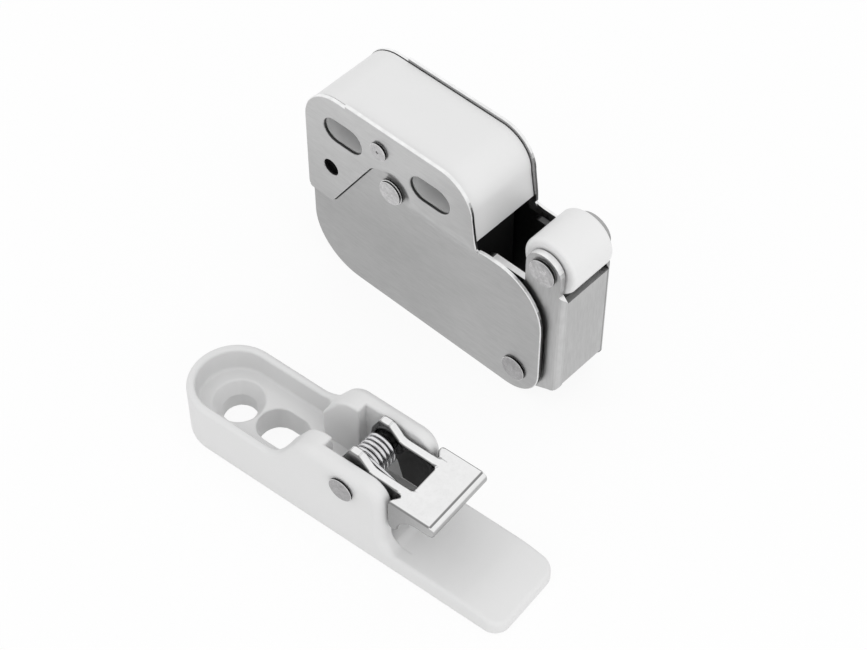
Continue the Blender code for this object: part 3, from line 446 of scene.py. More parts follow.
def thickened(name, places, front, back, faces):
    """A closed sheet between two heights along y over flat triangles, in millimetres."""
    count = len(places)
    points = [(x, y, z) for (x, z), y in zip(places, front)] + [(x, y, z) for (x, z), y in zip(places, back)]
    solid = [tuple(face) for face in faces] + [tuple(face[::-1] + count) for face in faces]
    solid += [(a, a + count, b + count, b) for a, b in free_edges(faces)]
    mesh = bpy.data.meshes.new(name)
    mesh.from_pydata([tuple(value * MM for value in point) for point in points], [],
                     [tuple(int(i) for i in face) for face in solid])
    shape = bmesh.new()
    shape.from_mesh(mesh)
    bmesh.ops.delete(shape, geom=[v for v in shape.verts if not v.link_faces], context="VERTS")
    bmesh.ops.recalc_face_normals(shape, faces=shape.faces)
    creased(shape)
    shape.to_mesh(mesh)
    shape.free()
    return mesh


# Rounded solids as distance fields, in millimetres

def round_and(a, b, radius):
    """Where both solids are, with the edge between them rounded."""
    over_a = np.maximum(a + radius, 0.0)
    over_b = np.maximum(b + radius, 0.0)
    return np.minimum(np.maximum(a, b), -radius) + np.hypot(over_a, over_b)


def round_or(a, b, radius):
    """Where either solid is, with the corner between them filled."""
    under_a = np.maximum(radius - a, 0.0)
    under_b = np.maximum(radius - b, 0.0)
    return np.maximum(np.minimum(a, b), radius) - np.hypot(under_a, under_b)


def polygon_distance(x, z, corners):
    """Distance to a closed polygon, below nought inside it."""
    nearest = np.full(x.shape, np.inf)
    inside = np.zeros(x.shape, dtype=bool)
    for (ax, az), (bx, bz) in zip(corners, corners[1:] + corners[:1]):
        run, rise = bx - ax, bz - az
        along = np.clip(((x - ax) * run + (z - az) * rise) / (run * run + rise * rise), 0.0, 1.0)
        nearest = np.minimum(nearest, (x - ax - along * run) ** 2 + (z - az - along * rise) ** 2)
        if rise != 0.0:
            inside ^= ((az > z) != (bz > z)) & (x < ax + (z - az) * run / rise)
    return np.where(inside, -1.0, 1.0) * np.sqrt(nearest)


def drawn_near(loop, other, reach, share):
    """A loop whose points within reach of another loop are drawn towards it by a share of the gap."""
    x, z = np.array(loop).T
    gap = polygon_distance(x, z, other)
    toward_x = polygon_distance(x + 0.01, z, other) - polygon_distance(x - 0.01, z, other)
    toward_z = polygon_distance(x, z + 0.01, other) - polygon_distance(x, z - 0.01, other)
    pull = np.where((gap > 0.0) & (gap < reach), gap * share, 0.0)
    pull /= np.maximum(np.hypot(toward_x, toward_z), 1e-9)
    return list(zip(x - pull * toward_x, z - pull * toward_z))


def slopes(field, points, reach=0.01):
    """Unit outward directions of a field at points."""
    made = np.empty_like(points)
    for axis in range(3):
        ahead, behind = points.copy(), points.copy()
        ahead[:, axis] += reach
        behind[:, axis] -= reach
        made[:, axis] = field(*ahead.T) - field(*behind.T)
    return made / np.maximum(np.linalg.norm(made, axis=1, keepdims=True), 1e-9)


def surface_nets(field, low, high, step):
    """Points and four-sided faces of a field's surface inside a box, by the surface nets method."""
    axes = [np.arange(a, b + step, step) for a, b in zip(low, high)]
    values = field(*np.meshgrid(*axes, indexing="ij"))
    inside = values < 0.0
    size = np.array(values.shape) - 1
    corners = [np.array((i, j, k)) for i in (0, 1) for j in (0, 1) for k in (0, 1)]
    count = np.zeros(size, dtype=np.int8)
    for i, j, k in corners:
        count += inside[i:i + size[0], j:j + size[1], k:k + size[2]]
    active = (count > 0) & (count < 8)
    cells = np.argwhere(active)
    number = np.full(size, -1)
    number[active] = np.arange(len(cells))
    total, hits = np.zeros((len(cells), 3)), np.zeros(len(cells))
    for first in corners:
        for axis in range(3):
            if first[axis]:
                continue
            second = first.copy()
            second[axis] = 1
            here, there = values[tuple((cells + first).T)], values[tuple((cells + second).T)]
            crossed = (here < 0.0) != (there < 0.0)
            share = here[crossed] / (here[crossed] - there[crossed])
            total[crossed] += first + (second - first) * share[:, None]
            hits[crossed] += 1
    points = np.array([axis[0] for axis in axes]) + (cells + total / hits[:, None]) * step
    faces = []
    for axis in range(3):
        one, two = np.eye(3, dtype=int)[(axis + 1) % 3], np.eye(3, dtype=int)[(axis + 2) % 3]
        ahead = np.eye(3, dtype=int)[axis]
        low_side = inside[:size[0] + 1 - ahead[0], :size[1] + 1 - ahead[1], :size[2] + 1 - ahead[2]]
        changed = low_side != inside[ahead[0]:, ahead[1]:, ahead[2]:]
        places = np.argwhere(changed)
        ring = [number[tuple((places - shift).T)] for shift in (0 * one, one, one + two, two)]
        quads = np.stack(ring, axis=1)
        leaving = low_side[tuple(places.T)]
        quads[~leaving] = quads[~leaving][:, ::-1]
        faces.append(quads)
    return points, np.concatenate(faces)


def bending(field, points, reach=0.12):
    """How sharply a field's surface bends at points, per millimetre."""
    made = -6.0 * field(*points.T)
    for axis in range(3):
        for way in (-reach, reach):
            moved = points.copy()
            moved[:, axis] += way
            made += field(*moved.T)
    return made / reach ** 2


def drawn_solid(name, field, low, high, step, place, finish, painted_shade_of):
    """A piece from a distance field in millimetres, set in place, with its field's own normals.

    painted_shade_of gives the painted shade and dark reflections from the points and their normals.
    """
    points, faces = surface_nets(field, low, high, step)
    for _ in range(3):
        points -= slopes(field, points) * np.clip(field(*points.T), -step, step)[:, None]
    normals = slopes(field, points)
    mesh = bpy.data.meshes.new(name)
    mesh.from_pydata((points * MM).tolist(), [], faces.tolist())
    mark(mesh, "painted_shade", "POINT", np.clip(painted_shade_of(points, normals), 0.0, 1.0))
    mesh.polygons.foreach_set("use_smooth", np.ones(len(faces), dtype=bool))
    mesh.transform(place)
    turn = np.array(place.to_3x3())
    mesh.normals_split_custom_set_from_vertices((normals @ turn.T).tolist())
    mesh.materials.append(finish)
    return shown(name, mesh)


# Node trees

def feed(tree, socket, value):
    """Links a socket to the socket that feeds it, or sets it to a plain value."""
    if isinstance(value, bpy.types.NodeSocket):
        tree.links.new(value, socket)
    else:
        socket.default_value = value


def put(tree, kind, feeds=None, **settings):
    """A new node with its settings, and its inputs fed by sockets or plain values."""
    made = tree.nodes.new(kind)
    for key, value in settings.items():
        setattr(made, key, value)
    for key, value in (feeds or {}).items():
        feed(tree, made.inputs[key], value)
    return made


def node_tree(name, kind, inputs, outputs):
    """A new node group with its sockets, given as names and kinds, and its input and output nodes."""
    tree = bpy.data.node_groups.new(name, kind + "NodeTree")
    for way, sockets in (("INPUT", inputs), ("OUTPUT", outputs)):
        for label, socket in sockets.items():
            tree.interface.new_socket(label, in_out=way, socket_type="NodeSocket" + socket)
    return tree, tree.nodes.new("NodeGroupInput"), tree.nodes.new("NodeGroupOutput")


def math_node(tree, operation, *sides):
    """The result of one sum; each side is a number or a socket."""
    return put(tree, "ShaderNodeMath", dict(enumerate(sides)), operation=operation).outputs[0]


def end_tree(tree, enter, leave, geometry):
    """Ends a tree in smooth faces, real geometry and its material."""
    smooth = put(tree, "GeometryNodeSetShadeSmooth", {0: geometry})
    real = put(tree, "GeometryNodeRealizeInstances", {0: smooth.outputs[0]})
    finish = put(tree, "GeometryNodeSetMaterial",
                 {"Geometry": real.outputs[0], "Material": enter.outputs["Finish"]})
    tree.links.new(finish.outputs[0], leave.inputs[0])


def lathe_tree():
    """Turns a profile, radius along x and place along y, once round the y axis."""
    tree, enter, leave = node_tree("turned_piece", "Geometry", {
        "Profile": "Geometry", "Steps": "Int", "Finish": "Material"}, {"Geometry": "Geometry"})
    size = put(tree, "GeometryNodeAttributeDomainSize", {0: enter.outputs["Profile"]}, component="MESH")
    rows = size.outputs["Point Count"]
    columns = math_node(tree, "ADD", enter.outputs["Steps"], 1.0)
    grid = put(tree, "GeometryNodeMeshGrid", {"Vertices X": columns, "Vertices Y": rows})
    index = put(tree, "GeometryNodeInputIndex").outputs[0]
    row = math_node(tree, "MODULO", index, rows)
    column = math_node(tree, "FLOOR", math_node(tree, "DIVIDE", math_node(tree, "ADD", index, 0.5), rows))
    angle = math_node(tree, "MULTIPLY", math_node(tree, "DIVIDE", column, enter.outputs["Steps"]), math.tau)
    position = put(tree, "GeometryNodeInputPosition").outputs[0]
    sample = put(tree, "GeometryNodeSampleIndex",
                 {"Geometry": enter.outputs["Profile"], "Value": position, "Index": row},
                 data_type="FLOAT_VECTOR")
    parts = put(tree, "ShaderNodeSeparateXYZ", {0: sample.outputs[0]})
    across = math_node(tree, "MULTIPLY", parts.outputs[0], math_node(tree, "COSINE", angle))
    up = math_node(tree, "MULTIPLY", parts.outputs[0], math_node(tree, "SINE", angle))
    place = put(tree, "ShaderNodeCombineXYZ", {0: across, 1: parts.outputs[1], 2: up})
    moved = put(tree, "GeometryNodeSetPosition", {"Geometry": grid.outputs[0], "Position": place.outputs[0]})
    closed = put(tree, "GeometryNodeMergeByDistance", {"Geometry": moved.outputs[0], "Distance": WELD})
    end_tree(tree, enter, leave, closed.outputs[0])
    return tree


def wire_tree():
    """Draws a round wire along a path."""
    tree, enter, leave = node_tree("drawn_wire", "Geometry", {
        "Path": "Geometry", "Diameter": "Float", "Sides": "Int", "Finish": "Material"},
        {"Geometry": "Geometry"})
    path = put(tree, "GeometryNodeMeshToCurve", {0: enter.outputs["Path"]})
    radius = math_node(tree, "MULTIPLY", enter.outputs["Diameter"], 0.5)
    ring = put(tree, "GeometryNodeCurvePrimitiveCircle",
               {"Resolution": enter.outputs["Sides"], "Radius": radius})
    tube = put(tree, "GeometryNodeCurveToMesh",
               {"Curve": path.outputs[0], "Profile Curve": ring.outputs[0], "Fill Caps": True})
    end_tree(tree, enter, leave, tube.outputs[0])
    return tree


def grown(name, tree, points, **values):
    """A piece that a tree grows from a line of points in metres, as a plain mesh."""
    mesh = bpy.data.meshes.new(name)
    mesh.from_pydata(points, [(i, i + 1) for i in range(len(points) - 1)], [])
    piece = shown(name, mesh)
    modifier = piece.modifiers.new("grow", "NODES")
    modifier.node_group = tree
    for item in tree.interface.items_tree:
        if item.name in values:
            modifier[item.identifier] = values[item.name]
    baked(piece)
    piece.data.materials.clear()
    piece.data.materials.append(values["Finish"])
    shape = bmesh.new()
    shape.from_mesh(piece.data)
    bmesh.ops.remove_doubles(shape, verts=shape.verts, dist=WELD)
    bmesh.ops.recalc_face_normals(shape, faces=shape.faces)
    for face in shape.faces:
        face.material_index = 0
    shape.to_mesh(piece.data)
    shape.free()
    return piece


# Finishes

def mixed(tree, share, first, second, **settings):
    """A colour between two; each is a socket or a colour."""
    feeds = {0: share, 6: first, 7: second}
    return put(tree, "ShaderNodeMix", feeds, data_type="RGBA", **settings).outputs[2]


def ranged(tree, value, low, high, start=0.3, end=0.7):
    """A value moved from start..end, where most of a noise lies, to low..high."""
    return put(tree, "ShaderNodeMapRange", {"Value": value, "From Min": start, "From Max": end,
                                            "To Min": low, "To Max": high}).outputs[0]


def attribute(tree, name):
    """A number that the mesh carries."""
    return put(tree, "ShaderNodeAttribute", attribute_name=name).outputs["Fac"]


def object_place(tree):
    """The place on the object."""
    return put(tree, "ShaderNodeTexCoord").outputs["Object"]


def noise(tree, where, scale, **values):
    """A noise at a place."""
    feeds = {"Vector": where, "Scale": scale}
    feeds.update({key.capitalize(): value for key, value in values.items()})
    return put(tree, "ShaderNodeTexNoise", feeds).outputs[0]


def metal_grain():
    """Rolled streaks, soft clouds and a fine height for metal sheet."""
    tree, enter, leave = node_tree("metal_grain", "Shader", {
        "Stretch": "Vector", "Fine": "Float", "Cloud": "Float"}, {
            "Streak": "Float", "Cloud": "Float", "Height": "Float"})
    where = object_place(tree)
    pulled = put(tree, "ShaderNodeVectorMath", {0: where, 1: enter.outputs["Stretch"]}, operation="MULTIPLY")
    streak = noise(tree, pulled.outputs[0], enter.outputs["Fine"], detail=3.0, roughness=0.6)
    cloud = noise(tree, where, enter.outputs["Cloud"], detail=2.0)
    fleck = noise(tree, where, enter.outputs["Fine"], detail=1.0)
    height = math_node(tree, "ADD", math_node(tree, "MULTIPLY", streak, 0.7),
                       math_node(tree, "MULTIPLY", fleck, 0.3))
    for label, value in (("Streak", streak), ("Cloud", cloud), ("Height", height)):
        tree.links.new(value, leave.inputs[label])
    return tree


def edge_rub_and_highlight():
    """Where a rounded edge is bright: partly rubbed wear and partly painted highlight."""
    tree, enter, leave = node_tree("edge_rub_and_highlight", "Shader", {"Break": "Float"}, {"Mask": "Float"})
    rim = attribute(tree, "rim")
    worn = ranged(tree, noise(tree, object_place(tree), enter.outputs["Break"]), 0.75, 1.0, 0.35, 0.6)
    tree.links.new(math_node(tree, "MULTIPLY", rim, worn), leave.inputs["Mask"])
    return tree


def moulded_skin():
    """Fine mould texture and slow flow marks of a plastic moulding."""
    tree, enter, leave = node_tree("moulded_skin", "Shader", {"Spark": "Float", "Flow": "Float"},
                                   {"Height": "Float", "Tone": "Float"})
    where = object_place(tree)
    tree.links.new(noise(tree, where, enter.outputs["Spark"], detail=2.0), leave.inputs["Height"])
    tree.links.new(noise(tree, where, enter.outputs["Flow"], detail=3.0), leave.inputs["Tone"])
    return tree


BUILT = {}


def shared(build):
    """The node group that a function builds, made the first time it is asked for."""
    if build not in BUILT:
        BUILT[build] = build()
    return BUILT[build]


def shade(values, share=1.0):
    """A colour made lighter or darker, with its alpha."""
    return tuple(min(1.0, value * share) for value in values) + (1.0,)


def new_finish(name):
    """A new material, its tree and its Principled shader."""
    finish = bpy.data.materials.new(name)
    finish.use_nodes = True
    return finish, finish.node_tree, finish.node_tree.nodes["Principled BSDF"]


def surface(tree, shader, base, dark, rough, height, bump):
    """Gives a shader its colour with painted shade, its roughness and its relief."""
    tree.links.new(mixed(tree, attribute(tree, "painted_shade"), base, dark), shader.inputs["Base Color"])
    tree.links.new(rough, shader.inputs["Roughness"])
    relief = put(tree, "ShaderNodeBump", {"Height": height, "Strength": bump, "Distance": RELIEF})
    tree.links.new(relief.outputs[0], shader.inputs["Normal"])


def metal(name, tint, edge, rough, stretch, fine=4200.0, cloud=160.0, bump=0.12, swing=0.06, far=None):
    """Bare metal with rolled grain, bright edges that are partly rubbed wear and partly painted highlight, and
    painted shade; its level leads to the far tone, as painted light and shade.
    """
    finish, tree, shader = new_finish(name)
    shader.inputs["Metallic"].default_value = 1.0
    grain = put(tree, "ShaderNodeGroup", {"Stretch": stretch, "Fine": fine, "Cloud": cloud},
                node_tree=shared(metal_grain))
    bright_edge_mask = put(tree, "ShaderNodeGroup", {"Break": 700.0}, node_tree=shared(edge_rub_and_highlight))
    streak = grain.outputs["Streak"]
    tone = math_node(tree, "ADD", ranged(tree, grain.outputs["Cloud"], 1.0 - swing, 1.0 + swing),
                     ranged(tree, streak, swing, -swing))
    # The level attribute blends the tint into the far tone, as painted light and shade.
    sheet = mixed(tree, attribute(tree, "level"), shade(tint), shade(far or tint))
    base = mixed(tree, 1.0, sheet, tone, blend_type="MULTIPLY")
    # Bright edges: partly rubbed wear, partly painted highlight.
    base = mixed(tree, bright_edge_mask.outputs["Mask"], base, shade(edge))
    surface(tree, shader, base, shade(tint, 0.04), ranged(tree, streak, rough - 0.05, rough + 0.09),
            grain.outputs["Height"], bump)
    return finish


def plastic(name, tint, rough, swing=0.02, gloss=0.5):
    """Moulded plastic with a fine mould texture and painted shade."""
    finish, tree, shader = new_finish(name)
    shader.inputs["Specular IOR Level"].default_value = gloss
    skin = put(tree, "ShaderNodeGroup", {"Spark": 3800.0, "Flow": 120.0}, node_tree=shared(moulded_skin))
    tone = skin.outputs["Tone"]
    base = mixed(tree, tone, shade(tint, 1.0 - swing), shade(tint, 1.0 + swing))
    surface(tree, shader, base, shade(tint, 0.02), ranged(tree, tone, rough - 0.05, rough + 0.05),
            skin.outputs["Height"], 0.1)
    return finish


# Places

def joint_place(name):
    """A joint's place in millimetres."""
    return np.array(JOINTS[name]["pos_m"]) / MM


def strike_place():
    """The strike's own frame in the row frame, from its lever's pin and axis."""
    pin_x = bpy.context.scene.latch_lever.pin_x
    axis = Vector(JOINTS["lever_swing"]["axis"])
    across = -axis
    along = across.cross(Vector((0.0, 0.0, 1.0)))
    turn = Matrix((along, across, Vector((0.0, 0.0, 1.0)))).transposed().to_4x4()
    pin = Vector(JOINTS["lever_swing"]["pos_m"])
    start = pin - along * pin_x
    start.z = 0.0
    return Matrix.Translation(start) @ turn


def arc_points(cx, cy, radius, start, end, count):
    """Points on an arc, in degrees."""
    angles = np.radians(np.linspace(start, end, count))
    return [(cx + radius * math.cos(a), cy + radius * math.sin(a)) for a in angles]


def head_profile(face, seat, head, shank, rim, dome, dimple=0.0):
    """Half section of a rivet's head from its middle to its shank, radius and place along the axis."""
    middle = [(0.0, face)]
    if dimple:
        bowl = ((0.0, 0.6), (0.35, 0.56), (0.7, 0.4), (0.95, 0.14), (1.15, 0.03), (1.4, 0.0))
        middle = [(out * dimple, face - deep * dimple) for out, deep in bowl]
    flat = head - rim
    crown = [(flat * t, face - dome * t * t) for t in (0.35, 0.6, 0.8, 0.93, 1.0)]
    edge = arc_points(flat, face - dome - rim, rim, 78, 0, 7)
    foot = [(head, seat + 0.04), (head - 0.04, seat), (shank, seat)]
    return middle + [p for p in crown if p[0] > middle[-1][0] + 0.01] + edge + foot


def corner_cut(points, rounds):
    """A line of points with its corners cut off again and again."""
    points = [np.array(p, dtype=float) for p in points]
    for _ in range(rounds):
        cut = [points[0]]
        for a, b in zip(points[:-1], points[1:]):
            cut += [a * 0.75 + b * 0.25, a * 0.25 + b * 0.75]
        points = cut + [points[-1]]
    return points


def coil_points(radius, turns, pitch, start, per_turn):
    """Points of a coil about the y axis, in millimetres."""
    made = []
    for i in range(int(round(turns * per_turn)) + 1):
        angle = start + math.tau * i / per_turn
        made.append((radius * math.cos(angle), pitch * (i / per_turn - turns / 2), radius * math.sin(angle)))
    return made


def other_end(side):
    """A half section's mirror image, from the shank back to the middle."""
    return [(r, -y) for r, y in side[::-1]]


def lathed(node, profile, steps, finish):
    """A piece turned from a profile in millimetres, round the y axis."""
    points = [(r * MM, y * MM, 0.0) for r, y in profile]
    return grown("turned_" + node, shared(lathe_tree), points, Steps=steps, Finish=finish)


# Operators

class LATCH_OT_sheets(bpy.types.Operator):
    """Presses the two steel side sheets, each with its mounting part set out and a slit beside its tab"""
    bl_idname = "latch.sheets"
    bl_label = "Side sheets"

    # Lengths are in millimetres, and angles are about the main rivet.
    CUT = 0.7                       # longest side of an outline
    GAP, PULL = 0.3, 0.75           # widest gap between the plates, and the share of it that is closed
    SEAM = 0.4                      # plates nearer than this share a seam
    LEAN, LEAN_RISE = 0.97, 0.0745  # lean of the seam at the rivet's height, and more for each millimetre up
    LEAN_FROM, LEAN_RUN, LEAN_TO = np.radians((95, 55, 280))    # where the seam leans
    SLIT_START = math.radians(300)  # where the slit starts
    RINGS = (0.07, 0.29, 0.62, 1.0, 1.5)    # rings along a rounded edge, in widths of that edge
    # Painted shade: darker on the step and towards the bottom, lighter again towards the right.
    STEP_TONE, LOW_TONE, RIGHT_TONE = 0.4, 0.6, 0.25    # shares of step, height and right side in the tone
    RIGHT_RUN = 14.0                # over which the right side gains its share
    # Painted shade in the holes, on the cut edges facing right and on the sheets' inside.
    HOLE, CUT_EDGE, INSIDE = 0.8, 0.85, 0.8     # darkness of the holes, the right cut edges and the inside

    def execute(self, context):
        look, size = context.scene.latch_finishes, context.scene.latch_body
        # The lit top and shaded low tones are painted light and shade on the sheets.
        steel = metal("sheet_steel", look.lit_top_steel, look.edge_steel, look.steel_rough, (0.12, 1.0, 1.0),
                      swing=0.02, far=look.shaded_low_steel)
        for side, sign in (("front", -1), ("rear", 1)):
            nodes = side + "_mount_plate", side + "_side_plate"
            mount, plate = (rim_loops(node, sign) for node in nodes)
            mount[0] = drawn_near(cut_up(mount[0], self.CUT), plate[0], self.GAP, self.PULL)
            plate[0] = cut_up(plate[0], self.CUT)
            mount[0], plate[0] = self.leaned(mount[0], plate[0]), self.leaned(plate[0], mount[0])
            loops = self.join(mount, plate, size.slit_end)
            low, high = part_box(nodes[0])
            face = (high.y if sign > 0 else low.y) / MM
            mesh = self.press(nodes[0], loops, self.step(mount[0], plate[0], size), face, sign, in_mm(size))
            self.tone(mesh, loops, (mount[0], plate[0]), face, sign, in_mm(size), (low.z / MM, high.z / MM))
            mesh.materials.append(steel)
            settle(shown("pressed_" + side + "_sheet", mesh), "latch_body", "plate_steel", *nodes)
        return {"FINISHED"}

    def rivet(self):
        """Place of the main rivet, x and z in millimetres."""
        low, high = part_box("main_rivet")
        return ((low + high) / 2 / MM).xz

    def turned(self, x, z):
        """Angle of points about the main rivet."""
        rivet_x, rivet_z = self.rivet()
        return np.arctan2(z - rivet_z, x - rivet_x) % math.tau

    def leaned(self, loop, other):
        """A loop whose stretch beside the slit stands a little steeper."""
        x, z = np.array(loop).T
        beside = np.abs(polygon_distance(x, z, other)) < self.SEAM
        turn = self.turned(x, z)
        share = eased((turn - self.LEAN_FROM) / self.LEAN_RUN) * (turn < self.LEAN_TO) * beside
        return list(zip(x - share * (self.LEAN + self.LEAN_RISE * (z - self.rivet()[1])), z))

    def join(self, mount, plate, slit_end):
        """Outlines of both plates of a side, with the gap between them closed but for the slit."""
        places, faces = filled([cut_up(loop, self.CUT) for loop in mount + plate], [])
        x, z = places[faces].mean(axis=1).T
        to_mount, to_plate = polygon_distance(x, z, mount[0]), polygon_distance(x, z, plate[0])
        gap = (to_mount > 0.0) & (to_plate > 0.0) & (np.maximum(to_mount, to_plate) < self.GAP)
        gap &= x < max(point[0] for point in mount[0] if point[1] < self.rivet()[1]) - 0.1
        turn = self.turned(x, z)
        closed = (turn < slit_end) | (turn > self.SLIT_START)
        kept = (beyond(x, z, mount) < 0.0) | (beyond(x, z, plate) < 0.0) | (gap & closed)
        return outlines(places, faces[kept])

    def step(self, mount, plate, size):
        """How far the sheet is pressed in at points, soft on the right and sharp at the slit."""
        def drop(x, z):
            middle = (polygon_distance(x, z, mount) - polygon_distance(x, z, plate)) / 2
            turn = self.turned(x, z)
            turn = np.where(turn > math.radians(270), 0.0, turn)
            run = 0.05 + size.step_run / MM * eased((size.slit_end - turn) / math.radians(40))
            return size.sheet_step / MM * eased(middle / run + 0.5)
        return drop

    def press(self, name, loops, drop, face, sign, s):
        """One sheet inside its outlines, with its outer edges rounded."""
        edge = s.plate_edge
        rings = [inset(loop, edge * share) for loop in loops for share in self.RINGS]
        spots = []
        box = np.array(loops[0])
        for step, on_slope in ((0.9, False), (0.4, True)):
            x, z = np.meshgrid(np.arange(box[:, 0].min(), box[:, 0].max(), step),
                               np.arange(box[:, 1].min(), box[:, 1].max(), step))
            x[::2] += step / 2
            x, z = x.ravel(), z.ravel()
            share = drop(x, z) / s.sheet_step
            sloped = (share > 0.001) & (share < 0.999)
            kept = (beyond(x, z, loops) < -edge * self.RINGS[-1] - 0.3 * step) & (sloped == on_slope)
            spots += list(zip(x[kept], z[kept]))
        places, faces = filled(loops + rings, spots)
        faces = faces[beyond(*places[faces].mean(axis=1).T, loops) < 0.0]
        short = np.clip(1.0 + beyond(*places.T, loops) / edge, 0.0, 1.0)
        flat = face - sign * drop(*places.T)
        return thickened(name, places, flat - sign * edge * (1.0 - np.sqrt(1.0 - short ** 2)),
                         flat - sign * s.sheet, faces)

    def tone(self, mesh, loops, seam, face, sign, s, heights):
        """Marks painted light and shade on a sheet: darker on the step and towards the bottom, lighter towards
        the right; bright rounded edges, partly rubbed wear and partly painted highlight; painted highlight on
        cut edges facing up; painted shade in the holes, on cut edges facing right and not up, and on the
        inside.
        """
        points = np.array([vertex.co[:] for vertex in mesh.vertices]) / MM
        # Painted light and shade: level grows on the step and towards the bottom, and falls towards the right.
        drop = np.clip(np.abs(points[:, 1] - face) / s.sheet_step, 0.0, 1.0)
        rise = np.clip((points[:, 2] - heights[0]) / (heights[1] - heights[0]), 0.0, 1.0)
        across = eased((points[:, 0] - points[:, 0].mean()) / self.RIGHT_RUN)
        level = self.STEP_TONE * drop + self.LOW_TONE * (1.0 - rise) - self.RIGHT_TONE * drop * across
        mark(mesh, "level", "POINT", level)
        spots, normals = face_table(mesh)
        x, z = spots[:, 0], spots[:, 2]
        deep = np.abs(polygon_distance(x, z, loops[0]))
        hole = np.min([np.abs(polygon_distance(x, z, loop)) for loop in loops[1:]], axis=0) < s.plate_edge
        wall, inner = np.abs(normals[:, 1]) < 0.1, normals[:, 1] * sign < -0.3
        up = eased((normals[:, 2] - 0.2) / 0.4)
        slit = np.max([np.abs(polygon_distance(x, z, loop)) for loop in seam], axis=0) < 0.5
        near = np.clip(1.5 - 1.5 * deep / s.plate_edge, 0.0, 1.0) * ~inner * np.where(slit, 0.15, 1.0)
        # Painted highlight on cut edges facing up; the rounded front edges are partly rubbed wear and partly
        # painted highlight, dimmed at the slit.
        mark(mesh, "rim", "FACE", np.where(wall, up * ~hole, near))
        # Painted shade on the hole walls, on cut edges facing right and not up, and on the inside away from
        # the edges.
        dark = np.where(hole, self.HOLE, self.CUT_EDGE * (1.0 - up) * (normals[:, 0] > 0.0))
        inside = self.INSIDE * eased((deep - 0.9) / 0.7)
        mark(mesh, "painted_shade", "FACE", np.where(wall, dark, np.where(inner, inside, 0.0)))


class LATCH_OT_cover(bpy.types.Operator):
    """Rounds off the white cover, paints shade on its edges beside the sheets and paints its tunnels' walls
    grey as shade
    """
    bl_idname = "latch.cover"
    bl_label = "Cover"

    WALL = 0.06         # faces this near a tunnel's outline are its wall, millimetres

    def execute(self, context):
        look, size = context.scene.latch_finishes, context.scene.latch_body
        white = plastic("cover_white", look.cover_white, look.white_rough)
        shadow = plastic("tunnel_grey", look.tunnel_grey, look.white_rough, swing=0.1)
        low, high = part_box("top_cover")
        middle = (low.y + high.y) / 2
        mesh = merged_copy("top_cover")
        for vertex in mesh.vertices:
            vertex.co.y = middle + math.copysign(size.cover_half, vertex.co.y - middle)
        piece = rounded("white_top_cover", mesh, size.cover_edge, white)
        spots, normals = face_table(piece.data)
        edge = np.array([value.value for value in piece.data.attributes["rim"].data]) > 0.0
        # Painted shade on the rounded edges beside the sheets: darker at the front, lighter at the rear.
        mark(piece.data, "painted_shade", "FACE", edge * np.where(normals[:, 1] < 0.0, 0.8 * (normals[:, 1] < -0.6),
                                                           0.3 * (normals[:, 1] > 0.85)))
        self.shade_tunnels(piece.data, shadow)
        settle(piece, "latch_body", "white_plastic", "top_cover")
        return {"FINISHED"}

    def shade_tunnels(self, mesh, finish):
        """Gives the walls of the tunnels behind the slots a grey finish as painted shade."""
        mesh.materials.append(finish)
        tunnels = rim_loops("top_cover", -1)[1:]
        spots, _ = face_table(mesh)
        near = np.min([np.abs(polygon_distance(spots[:, 0], spots[:, 2], loop)) for loop in tunnels], axis=0)
        mesh.polygons.foreach_set("material_index", (near < self.WALL).astype(np.int32))


class LATCH_OT_inside(bpy.types.Operator):
    """Finishes the pieces inside the body that keep their solids"""
    bl_idname = "latch.inside"
    bl_label = "Inside"

    def execute(self, context):
        look = context.scene.latch_finishes
        black = plastic("inner_black", look.inner_black, 0.7, swing=0.15, gloss=0.03)
        bright = metal("leaf_steel", look.spring_steel, look.edge_steel, 0.25, (1.0, 1.0, 0.1))
        for node, finish in (("cam_block", black), ("follower_leaf", bright), ("pivot_sleeve", bright)):
            solid = frame["nodes"][node]
            solid.data.materials.clear()
            solid.data.materials.append(finish)
        return {"FINISHED"}


